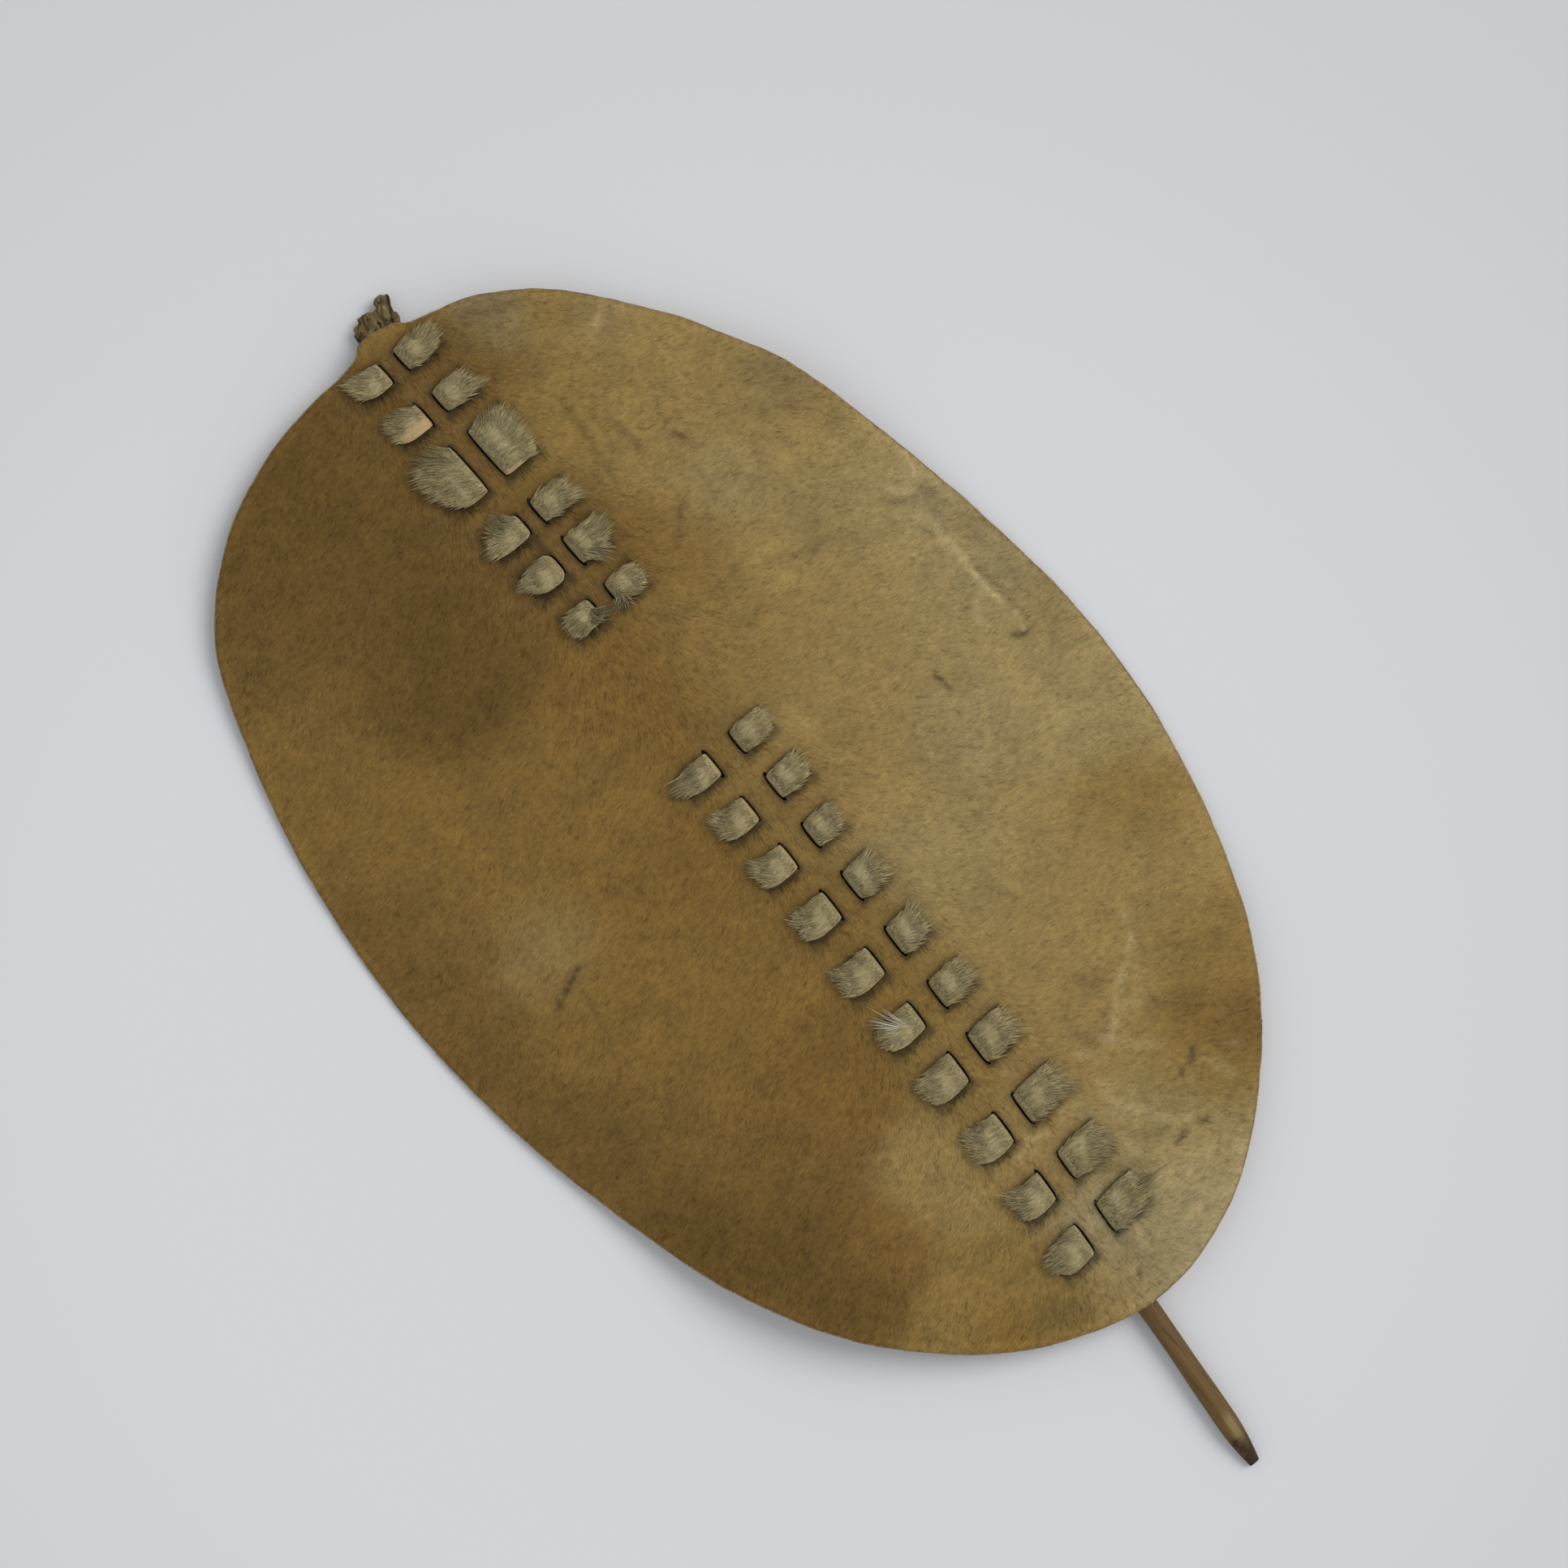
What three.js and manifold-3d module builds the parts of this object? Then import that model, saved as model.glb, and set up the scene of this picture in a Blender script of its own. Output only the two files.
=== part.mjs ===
// A small southern African hide shield, lying on its back with its hair side up.
//
// An oval panel of stiff, dried cattle hide is stiffened by a peeled branch that runs down its back.
// Two columns of slits are cut beside the branch, and each row of four slits carries one short strip
// of goat hide. The strip comes up through an inner slit, crosses the front as a square patch, goes
// down through the outer slit and ends on the back. Between its two inner slits it passes round the
// back of the branch and holds it. The rows leave a gap where a hand grips the branch. A rawhide
// thong is wound on the branch's whittled top end, and its dried folds stick out past the panel.
//
// Units are millimetres. +Z is up, out of the hair side. +Y runs up the shield, from the branch's
// pointed foot to the knot. +X is to the right as the front is seen. The origin is on the ground,
// under the middle of the whole object.

import * as THREE from "three";
import { mergeVertices } from "three/addons/utils/BufferGeometryUtils.js";
import Module from "manifold-3d";

// ---- Driving dimensions ----

// The panel, as it was trimmed by hand: its outline from the right edge, anticlockwise, and its
// greatest reach to each side of the origin.
const OUTLINE = [
  [193, 10], [188, 75], [176, 143], [160, 206], [132, 259], [99, 302], [67, 327.5], [42, 336.5],
  [28, 341], [23, 344.5], [3, 347.5], [-3, 343], [-14, 340.5], [-34, 339.5], [-68, 333.5],
  [-109, 315], [-147, 279], [-172, 217], [-187, 152], [-193, 86], [-190, 18], [-177, -55],
  [-153, -133], [-115, -197], [-60, -245], [5, -266], [62, -253], [115, -213], [152, -164],
  [176, -104], [189, -45],
];
const HALF_WIDTH = 193;
const HIDE_THICKNESS = 2.6;
const EDGE_ROUND = 0.8;

// The branch: its ends, its size at each of them, how it bows to one side and how it arches off the
// ground. It gets thinner towards its top, as it grew.
const STICK_FOOT_Y = -360;
const STICK_TOP_Y = 351;
const STICK_FOOT_WIDTH = 11.4;
const STICK_TOP_WIDTH = 6.6;
const STICK_FOOT_HEIGHT = 10;
const STICK_TOP_HEIGHT = 7.6;
const STICK_APEX_X = 14.5;
const STICK_APEX_Y = 120;
const STICK_BOW = 25.4 / 482 ** 2;
const STICK_ARCH = 5;
const STICK_TAPER = 26;
const STICK_POINT = 0.5;
const FOOT_FLAT = 22;
const TENON_LENGTH = 13;
const TENON_SIZE = 0.55;

// The strips: each row's place up the shield, its strip's width, and the distances from the branch's
// line to its slits, which were cut by eye: on the left inner and outer, on the right inner and outer.
// The hand's gap is between the sixth row and the seventh.
const ROWS = [
  [327.5, 14, 6.6, 23.3, 4.9, 24.7],
  [299.5, 14, 5.9, 23.5, 5.1, 22.5],
  [265, 30, 7.2, 27, 5.3, 25],
  [227, 14, 5.2, 24.7, 5.2, 24.3],
  [201, 16, 5.3, 23.3, 5.6, 22.2],
  [172.5, 14, 5.6, 21.2, 6.6, 23.3],
  [77, 14, 9.8, 28.3, 6.8, 25],
  [48.5, 15, 9.4, 27.4, 7.2, 25],
  [18.5, 15, 9.2, 27.2, 6.3, 22],
  [-13.5, 17, 7.6, 27, 6.6, 23],
  [-48, 17, 7.6, 28, 6.7, 23.4],
  [-81.5, 16, 7.6, 28, 7.2, 25],
  [-114.5, 18, 6.6, 27, 7, 27],
  [-151.5, 18, 6.5, 25.2, 7.2, 29],
  [-187, 17, 6.5, 24.4, 8.1, 30.5],
  [-219, 18, 6.6, 25, 8.9, 31],
];
// A row's right end is a little higher than its left one, more so towards the foot.
const ROW_RISE = 0.05;
const ROW_RISE_PER_MM = 0.0002;
const STRIP_THICKNESS = 1.7;
const SLIT_OVERCUT = 1;
const STRIP_END = 9;

// The knot at the top: its collar on the branch's tenon, and its folds as
// [x from the branch, y, length, width, height, turn in degrees].
const COLLAR_LENGTH = 10;
const KNOT_FLAT = 0.6;
const KNOT_RAISE = 4.8;
const KNOT_FOLDS = [
  [-3.8, 348.6, 12, 7.6, 8.5, 24],
  [4.2, 349.5, 17, 9.4, 11, -6],
  [10.5, 346.5, 15, 9, 8.5, -32],
  [16.5, 351.2, 20, 8, 11, -28],
];

// Meshes hold 32-bit numbers, so neighbours keep a gap. It is wider at the panel, whose flat facets
// cut a little inside its true curve.
const GAP = 0.3;
const HIDE_GAP = 0.5;

// ---- The branch's line and the panel's surface, as functions of the place ----

const stickX = (y) => STICK_APEX_X - STICK_BOW * (y - STICK_APEX_Y) ** 2;

// How far up the branch a place is, from its flat foot to its top end, and the branch's size there.
const upStick = (y) => {
  const start = STICK_FOOT_Y + FOOT_FLAT;
  return Math.max(0, (y - start) / (STICK_TOP_Y - start));
};
const stickWidth = (y) => THREE.MathUtils.lerp(STICK_FOOT_WIDTH, STICK_TOP_WIDTH, upStick(y));
const stickHeight = (y) => THREE.MathUtils.lerp(STICK_FOOT_HEIGHT, STICK_TOP_HEIGHT, upStick(y));

// The underside of the branch. Its foot is on the ground, and its top end is held off it by the knot.
const stickUnder = (y) => {
  const along = upStick(y);
  return KNOT_RAISE * along + STICK_ARCH * 4 * along * (1 - along);
};

// The panel bends down from the branch to each side, in a parabola that meets the ground near the
// widest place. Dried hide warps, so parts of its edge stand off the ground again, but the branch
// keeps the warps away from itself.
const DROP_LEFT = 3.89e-4;
const DROP_RIGHT = 5.16e-4;
const WARP_FREE = 70;
const WARPS = [
  { x: -150, y: -175, lift: 15, reach: 85 },
  { x: 165, y: 190, lift: 9, reach: 60 },
  { x: -120, y: 300, lift: 3, reach: 60 },
  { x: 150, y: -170, lift: 4, reach: 60 },
];
const hideUnder = (x, y) => {
  const off = x - stickX(y);
  const drop = (off < 0 ? DROP_LEFT : DROP_RIGHT) * off * off;
  const free = 1 - Math.exp(-((off / WARP_FREE) ** 2));
  const bump = (w) => w.lift * Math.exp(-((x - w.x) ** 2 + (y - w.y) ** 2) / w.reach ** 2);
  const warp = free * WARPS.reduce((sum, w) => sum + bump(w), 0);
  return stickUnder(y) + stickHeight(y) + HIDE_GAP - drop + warp;
};
const hideTop = (x, y) => hideUnder(x, y) + HIDE_THICKNESS;

// A row's own places are distances off the branch and along it. Its slits lie along the branch.
const rowTurn = ([y]) => -Math.atan(2 * STICK_BOW * (STICK_APEX_Y - y));
const rowSlant = (row) => ROW_RISE - ROW_RISE_PER_MM * row[0] - rowTurn(row);
function rowPlace(row, off, along) {
  const [y] = row;
  const place = new THREE.Vector2(off, along + rowSlant(row) * off);
  place.rotateAround(new THREE.Vector2(), rowTurn(row));
  return [stickX(y) + place.x, y + place.y];
}

// ---- Solids ----

const wasm = await Module();
wasm.setup();

// A closed solid through a row of rings, which all have the same number of points. Each end is
// closed by a fan.
function solidThroughRings(rings) {
  const count = rings[0].length;
  const positions = rings.flat().flatMap((p) => [p.x, p.y, p.z]);
  const faces = [];
  for (let k = 0; k + 1 < rings.length; k++) {
    for (let i = 0; i < count; i++) {
      const a = k * count + i;
      const b = k * count + ((i + 1) % count);
      faces.push(a, b, b + count, a, b + count, a + count);
    }
  }
  for (const [k, turned] of [[0, true], [rings.length - 1, false]]) {
    const middle = rings[k].reduce((sum, p) => sum.add(p), new THREE.Vector3());
    middle.divideScalar(count);
    const hub = positions.length / 3;
    positions.push(middle.x, middle.y, middle.z);
    for (let i = 0; i < count; i++) {
      const a = k * count + i;
      const b = k * count + ((i + 1) % count);
      faces.push(...(turned ? [hub, b, a] : [hub, a, b]));
    }
  }
  const geometry = new THREE.BufferGeometry();
  geometry.setAttribute("position", new THREE.Float32BufferAttribute(positions, 3));
  geometry.setIndex(faces);
  return geometry;
}

function toManifold(geometry) {
  const bare = geometry.clone();
  bare.deleteAttribute("normal");
  bare.deleteAttribute("uv");
  const merged = mergeVertices(bare, 1e-4);
  return new wasm.Manifold(
    new wasm.Mesh({
      numProp: 3,
      vertProperties: merged.attributes.position.array,
      triVerts: new Uint32Array(merged.index.array),
    }),
  );
}

function fromManifold(solid) {
  const mesh = solid.getMesh();
  const geometry = new THREE.BufferGeometry();
  geometry.setAttribute("position", new THREE.Float32BufferAttribute(mesh.vertProperties, 3));
  geometry.setIndex([...mesh.triVerts]);
  geometry.computeVertexNormals();
  return geometry;
}

// ---- The panel ----

function outlinePoints(count) {
  const corners = OUTLINE.map(([x, y]) => new THREE.Vector3(x, y, 0));
  const curve = new THREE.CatmullRomCurve3(corners, true, "centripetal");
  curve.arcLengthDivisions = 2000;
  const points = curve.getSpacedPoints(count).slice(0, count);
  const left = Math.min(...points.map((p) => p.x));
  const right = Math.max(...points.map((p) => p.x));
  return points.map((p) => new THREE.Vector2(p.x * (HALF_WIDTH / (p.x < 0 ? -left : right)), p.y));
}

// A thin box that stands through the panel at one slit.
function slitCutter(row, off) {
  const [, width] = row;
  const box = new THREE.BoxGeometry(STRIP_THICKNESS + 2 * GAP, width + 2 * SLIT_OVERCUT, 30);
  box.rotateZ(rowTurn(row));
  const [x, y] = rowPlace(row, off, 0);
  box.translate(x, y, hideUnder(x, y));
  return toManifold(box);
}

function hideGeometry() {
  const middle = new THREE.Vector2(0, 36);
  const rim = outlinePoints(68);
  const shares = [0.12, 0.25, 0.39, 0.54, 0.69, 0.83, 0.93];
  const ring = (share, inset, height) =>
    rim.map((p) => {
      const reach = p.clone().sub(middle);
      reach.multiplyScalar(share).setLength(reach.length() - inset);
      const x = middle.x + reach.x;
      const y = middle.y + reach.y;
      return new THREE.Vector3(x, y, hideUnder(x, y) + height);
    });
  const rings = [
    ...shares.map((share) => ring(share, 0, 0)),
    ring(1, EDGE_ROUND, 0),
    ring(1, 0, HIDE_THICKNESS / 2),
    ring(1, EDGE_ROUND, HIDE_THICKNESS),
    ...shares.toReversed().map((share) => ring(share, 0, HIDE_THICKNESS)),
  ];
  let panel = toManifold(solidThroughRings(rings));
  for (const row of ROWS) {
    const [, , leftInner, leftOuter, rightInner, rightOuter] = row;
    for (const off of [-leftOuter, -leftInner, rightInner, rightOuter]) {
      panel = panel.subtract(slitCutter(row, off));
    }
  }
  return fromManifold(panel);
}

// ---- The branch ----

// How much of its full size the branch has at one place: it is whittled to a blunt point at the
// foot, and to a thinner tenon at the top.
function stickSize(y) {
  if (y > STICK_TOP_Y - TENON_LENGTH) {
    return TENON_SIZE;
  }
  const toFoot = Math.min(1, (y - STICK_FOOT_Y) / STICK_TAPER);
  return STICK_POINT + (1 - STICK_POINT) * Math.sin((toFoot * Math.PI) / 2);
}

function stickGeometry(grown = 0) {
  const sides = 12;
  const shaftSteps = 22;
  const footSteps = 4;
  const shoulder = STICK_TOP_Y - TENON_LENGTH;
  const taperTop = STICK_FOOT_Y + STICK_TAPER;
  const shaft = (k) => shoulder + (taperTop - shoulder) * (k / shaftSteps);
  const foot = (k) => taperTop - STICK_TAPER * (k / footSteps);
  const stations = [
    STICK_TOP_Y + grown,
    shoulder + 0.8,
    ...Array.from({ length: shaftSteps + 1 }, (_, k) => shaft(k)),
    ...Array.from({ length: footSteps }, (_, k) => foot(k + 1)),
  ];
  const rings = stations.map((y) => {
    const size = stickSize(y);
    // The tenon is whittled evenly all round, and the foot from above, so that it lies flat.
    const middle = (stickHeight(y) / 2) * (y > shoulder ? 1 : size);
    const section = [];
    for (let i = 0; i < sides; i++) {
      // The half step puts a flat facet at the bottom, so the branch doesn't roll.
      const angle = ((i + 0.5) / sides) * 2 * Math.PI - Math.PI / 2;
      const reach = 1 / Math.cos(Math.PI / sides);
      const x = ((stickWidth(y) / 2) * size + grown) * Math.cos(angle);
      const z = ((stickHeight(y) / 2) * size + grown) * reach * Math.sin(angle);
      section.push(new THREE.Vector3(stickX(y) + x, y, stickUnder(y) + middle + z));
    }
    return section;
  });
  return solidThroughRings(rings);
}

// ---- The strips ----

// One half of a strip's way, from the middle of the branch's back round its side, up through the inner
// slit, down through the outer slit and out to the strip's end, as [distance from the branch's line,
// height of the strip's middle].
function halfWay(row, side) {
  const [y, , leftInner, leftOuter, rightInner, rightOuter] = row;
  const [inner, outer] = side < 0 ? [leftInner, leftOuter] : [rightInner, rightOuter];
  const half = STRIP_THICKNESS / 2;
  const under = stickUnder(y) - GAP - half;
  const stickSide = stickWidth(y) / 2;
  const behind = (off) => hideUnder(...rowPlace(row, side * off, 0)) - HIDE_GAP - half;
  const before = (off) => hideTop(...rowPlace(row, side * off, 0)) + HIDE_GAP + half;
  return [
    [stickSide * 0.42, under],
    [stickSide * 0.97, under + stickHeight(y) * 0.14],
    [stickSide + GAP + half + 0.1, under + stickHeight(y) * 0.46],
    [inner, behind(inner)],
    [inner, before(inner) - 0.4],
    [inner + 3, before(inner + 3) + 0.7],
    [outer - 3, before(outer - 3) + 0.7],
    [outer, before(outer) - 0.4],
    [outer, behind(outer) - 0.2],
    [outer + 3, behind(outer + 3) - 0.3],
    [outer + STRIP_END, behind(outer + STRIP_END)],
  ].map(([off, z]) => [side * off, z]);
}

function stripGeometry(row) {
  const [y, width] = row;
  const way = [...halfWay(row, -1).toReversed(), ...halfWay(row, 1)];
  const rings = way.map(([off, z], k) => {
    const last = way[Math.max(0, k - 1)];
    const next = way[Math.min(way.length - 1, k + 1)];
    const onward = new THREE.Vector2(next[0] - last[0], next[1] - last[1]).normalize();
    const thick = new THREE.Vector2(-onward.y, onward.x).multiplyScalar(STRIP_THICKNESS / 2);
    const corner = (edge, face) => {
      const along = (edge * width) / 2;
      // The strip's two edges follow the slope of the arch.
      const slope = stickUnder(y + along) - stickUnder(y);
      return new THREE.Vector3(
        ...rowPlace(row, off + face * thick.x, along),
        z + face * thick.y + slope,
      );
    };
    return [corner(-1, -1), corner(1, -1), corner(1, 1), corner(-1, 1)];
  });
  return solidThroughRings(rings);
}

// ---- The knot ----

function knotGeometry() {
  const x = stickX(STICK_TOP_Y);
  const radius = STICK_TOP_HEIGHT / 2;
  const middle = stickUnder(STICK_TOP_Y) + radius;
  const collar = new THREE.CylinderGeometry(radius, radius, COLLAR_LENGTH, 16);
  collar.translate(x, STICK_TOP_Y + 1 - COLLAR_LENGTH / 2, middle);
  let knot = toManifold(collar);
  for (const [offset, y, length, width, height, turn] of KNOT_FOLDS) {
    const fold = new THREE.SphereGeometry(1, 10, 8);
    fold.scale(width / 2, length / 2, height / 2);
    fold.rotateZ(THREE.MathUtils.degToRad(turn));
    fold.translate(x + offset, y, height / 2 - KNOT_FLAT);
    knot = knot.add(toManifold(fold));
  }
  // It lies on the ground on small flats, and the branch's tenon sits in its socket.
  const ground = new THREE.BoxGeometry(100, 100, 20);
  ground.translate(x, STICK_TOP_Y, -10);
  return fromManifold(knot.subtract(toManifold(ground)).subtract(toManifold(stickGeometry(GAP))));
}

// ---- The object ----

const material = (color, roughness) => new THREE.MeshStandardMaterial({ color, roughness, metalness: 0 });
const hideMaterial = material(0x84683a, 0.85);
const stripMaterial = material(0x968c70, 0.9);
const stickMaterial = material(0x7a5a34, 0.6);
const thongMaterial = material(0x6e5c38, 0.75);

const shield = new THREE.Group();
function add(name, geometry, finish) {
  const mesh = new THREE.Mesh(geometry, finish);
  mesh.name = name;
  shield.add(mesh);
}

add("hide_panel", hideGeometry(), hideMaterial);
add("stick", stickGeometry(), stickMaterial);
ROWS.forEach((row, i) => {
  add(`strip_row_${String(i + 1).padStart(2, "0")}`, stripGeometry(row), stripMaterial);
});
add("top_knot", knotGeometry(), thongMaterial);

export default shield;
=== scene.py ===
# A small southern African hide shield, lying on its back with its hair side up. The sections follow
# the way it is put together: the panel, the branch down its back, the strips that lace them, their
# goat hair, the thong's knot, and then the panel's own short coat.
#
# Sizes are in millimetres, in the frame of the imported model: +Z is up, out of the hair side, and +Y
# runs up the shield from the branch's pointed foot to the knot. A finished mesh is in metres.

import math

import bpy
import numpy as np
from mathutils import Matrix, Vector, noise
from mathutils.geometry import delaunay_2d_cdt

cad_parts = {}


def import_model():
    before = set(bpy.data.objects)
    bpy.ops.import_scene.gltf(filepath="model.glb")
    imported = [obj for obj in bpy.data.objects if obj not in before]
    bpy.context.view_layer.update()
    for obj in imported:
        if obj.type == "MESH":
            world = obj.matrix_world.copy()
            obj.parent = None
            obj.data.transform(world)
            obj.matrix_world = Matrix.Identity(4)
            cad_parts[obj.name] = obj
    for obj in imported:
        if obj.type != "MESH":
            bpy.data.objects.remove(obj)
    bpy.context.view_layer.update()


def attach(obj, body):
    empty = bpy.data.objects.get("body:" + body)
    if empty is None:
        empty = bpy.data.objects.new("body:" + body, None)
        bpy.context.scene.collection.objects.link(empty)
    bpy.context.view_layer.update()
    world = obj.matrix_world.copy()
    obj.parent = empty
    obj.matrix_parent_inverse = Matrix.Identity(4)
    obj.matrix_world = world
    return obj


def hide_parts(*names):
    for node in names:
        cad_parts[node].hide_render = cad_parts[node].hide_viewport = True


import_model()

# ---- The camera ----
# It hangs straight over the table, turned so that the knot is to the upper left of the picture.

SHIELD_LEVEL = 0.012
VIEW_HEIGHT = 2.6
VIEW_WIDTH = 0.7728
VIEW_MIDDLE = (0.0253, 0.0468)
VIEW_TURN = -39.8


def add_to_scene(name, data):
    added = bpy.data.objects.new(name, data)
    bpy.context.collection.objects.link(added)
    return added


eye = add_to_scene("camera", bpy.data.cameras.new("camera"))
eye.location = (*VIEW_MIDDLE, SHIELD_LEVEL + VIEW_HEIGHT)
eye.rotation_euler = (0, 0, math.radians(VIEW_TURN))
eye.data.lens = eye.data.sensor_width * VIEW_HEIGHT / VIEW_WIDTH
eye.data.clip_start = 0.01
bpy.context.scene.camera = eye
bpy.context.scene.view_settings.view_transform = "Standard"

# ---- The panel ----
# It is one piece of stiff, dried cattle hide with its short hair left on, trimmed by hand to an oval.
# It has dried bowed over the branch, and its rim shows the pale cut rawhide. Four slits a row, cut
# with a knife, carry the strips.

MM = 0.001
OUTLINE = (
    (193, 10), (188, 75), (176, 143), (160, 206), (132, 259), (99, 302), (67, 327.5), (42, 336.5),
    (28, 341), (23, 344.5), (3, 347.5), (-3, 343), (-14, 340.5), (-34, 339.5), (-68, 333.5),
    (-109, 315), (-147, 279), (-172, 217), (-187, 152), (-193, 86), (-190, 18), (-177, -55),
    (-153, -133), (-115, -197), (-60, -245), (5, -266), (62, -253), (115, -213), (152, -164),
    (176, -104), (189, -45),
)
HALF_WIDTH = 193
HIDE_THICKNESS = 2.6
HIDE_GAP = 0.5
FAR_AWAY = 1000.0

FOOT_Y, TOP_Y = -360, 351
FOOT_FLAT = 22
FOOT_SIZE = (11.4, 10)
TOP_SIZE = (6.6, 7.6)

# Each row of slits: its place up the shield, its strip's width, and how far its slits are from the
# branch's line, on the left inner and outer, and on the right inner and outer.
ROWS = (
    (327.5, 14, 6.6, 23.3, 4.9, 24.7), (299.5, 14, 5.9, 23.5, 5.1, 22.5),
    (265, 30, 7.2, 27, 5.3, 25), (227, 14, 5.2, 24.7, 5.2, 24.3),
    (201, 16, 5.3, 23.3, 5.6, 22.2), (172.5, 14, 5.6, 21.2, 6.6, 23.3),
    (77, 14, 9.8, 28.3, 6.8, 25), (48.5, 15, 9.4, 27.4, 7.2, 25), (18.5, 15, 9.2, 27.2, 6.3, 22),
    (-13.5, 17, 7.6, 27, 6.6, 23), (-48, 17, 7.6, 28, 6.7, 23.4), (-81.5, 16, 7.6, 28, 7.2, 25),
    (-114.5, 18, 6.6, 27, 7, 27), (-151.5, 18, 6.5, 25.2, 7.2, 29),
    (-187, 17, 6.5, 24.4, 8.1, 30.5), (-219, 18, 6.6, 25, 8.9, 31),
)
STRIP_THICKNESS = 1.7

# The branch bows sideways about its middle, and stands off the table at its top and its middle. The
# panel falls away from it on both sides, and its free part has warped: where, how much and how far.
BOW = 25.4 / 482**2
BRANCH_X, BOW_Y = 14.5, 120
TOP_LIFT, MIDDLE_LIFT = 4.8, 20
DROP_LEFT, DROP_RIGHT = 3.89e-4, 5.16e-4
FREE_PAST = 70
WARPS = ((-150, -175, 15, 85), (165, 190, 9, 60), (-120, 300, 3, 60), (150, -170, 4, 60))


def rotated(a, b, turn):
    """The two parts of a direction or a place, turned anticlockwise."""
    return a * math.cos(turn) - b * math.sin(turn), a * math.sin(turn) + b * math.cos(turn)


def unit(vectors):
    return vectors / np.linalg.norm(vectors, axis=-1, keepdims=True)


def branch_x(y):
    return BRANCH_X - BOW * (y - BOW_Y) ** 2


def up_branch(y):
    return np.maximum(0, (y - FOOT_Y - FOOT_FLAT) / (TOP_Y - FOOT_Y - FOOT_FLAT))


def branch_size(y, which):
    return FOOT_SIZE[which] + (TOP_SIZE[which] - FOOT_SIZE[which]) * up_branch(y)


def branch_under(y):
    along = up_branch(y)
    return TOP_LIFT * along + MIDDLE_LIFT * along * (1 - along)


def bell(distance, width):
    """A smooth bump: 1 in the middle, and about a third at its width."""
    return np.exp(-((distance / width) ** 2))


def around(x, y, at_x, at_y, reach):
    """A bell round one place."""
    return np.exp(-((x - at_x) ** 2 + (y - at_y) ** 2) / reach**2)


def hide_under(x, y):
    off = x - branch_x(y)
    drop = np.where(off < 0, DROP_LEFT, DROP_RIGHT) * off**2
    warp = sum(raised * around(x, y, at_x, at_y, reach) for at_x, at_y, raised, reach in WARPS)
    return branch_under(y) + branch_size(y, 1) + HIDE_GAP - drop + (1 - bell(off, FREE_PAST)) * warp


def hide_top(x, y):
    return hide_under(x, y) + HIDE_THICKNESS


def row_turn(row):
    return -math.atan(2 * BOW * (BOW_Y - row[0]))


def row_slant(row):
    """A row's right end is a little higher than its left one, more so towards the foot."""
    return 0.05 - 0.0002 * row[0] - row_turn(row)


def row_place(row, off, along):
    """The place that is off the branch's line by one distance, and up it from the row by another."""
    across, up = rotated(off, along + row_slant(row) * off, row_turn(row))
    return branch_x(row[0]) + across, row[0] + up


def slits(row):
    """The slits' distances from the branch's line, from left to right."""
    return (-row[3], -row[2], row[4], row[5])


def strip_span(row, side):
    """How far a row's inner and outer slits are from the branch's line on one side, -1 or 1."""
    return (row[2], row[3]) if side < 0 else (row[4], row[5])


def patchy(x, y, size, layer):
    """Smooth random patches of about one size, from -1 to 1."""
    places = zip(np.ravel(x) / size, np.ravel(y) / size)
    return np.array([noise.noise(Vector((a, b, layer))) for a, b in places]).reshape(np.shape(x))


def even_steps(line, count, closed=False):
    """Evenly spaced points on a line."""
    line = np.vstack([line, line[:1]]) if closed else line
    length = np.r_[0, np.cumsum(np.linalg.norm(np.diff(line, axis=0), axis=1))]
    stops = np.linspace(0, length[-1], count, endpoint=not closed)
    return np.c_[np.interp(stops, length, line[:, 0]), np.interp(stops, length, line[:, 1])]


def panel_outline(count):
    """The rim: a centripetal Catmull-Rom curve through OUTLINE, a little uneven from the knife."""
    p1 = np.array(OUTLINE, float)
    p0, p2, p3 = np.roll(p1, 1, 0), np.roll(p1, -1, 0), np.roll(p1, -2, 0)
    d0, d1, d2 = (np.linalg.norm(b - a, axis=1)[:, None] ** 0.5 for a, b in ((p0, p1), (p1, p2), (p2, p3)))
    start = ((p1 - p0) / d0 - (p2 - p0) / (d0 + d1) + (p2 - p1) / d1) * d1
    end = ((p2 - p1) / d1 - (p3 - p1) / (d1 + d2) + (p3 - p2) / d2) * d1
    u = np.linspace(0, 1, 60, endpoint=False)[:, None, None]
    curve = (2 * u**3 - 3 * u**2 + 1) * p1 + (u**3 - 2 * u**2 + u) * start
    curve = curve + (3 * u**2 - 2 * u**3) * p2 + (u**3 - u**2) * end
    rim = even_steps(curve.transpose(1, 0, 2).reshape(-1, 2), count, closed=True)
    rim[:, 0] *= HALF_WIDTH / np.where(rim[:, 0] < 0, -rim[:, 0].min(), rim[:, 0].max())
    upper_right = np.clip((rim[:, 0] + 0.5 * rim[:, 1] - 100) / 60, 0, 1)
    uneven = 0.3 * patchy(*rim.T, 22, 3) + 0.22 * patchy(*rim.T, 6, 4)
    uneven = uneven + 0.9 * upper_right * patchy(*rim.T, 27, 20)
    return rim - loop_normals(rim) * (0.3 + uneven)[:, None]


def loop_normals(loop):
    """The directions out of an anticlockwise loop."""
    onward = unit(np.roll(loop, -1, 0) - np.roll(loop, 1, 0))
    return np.c_[onward[:, 1], -onward[:, 0]]


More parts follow.
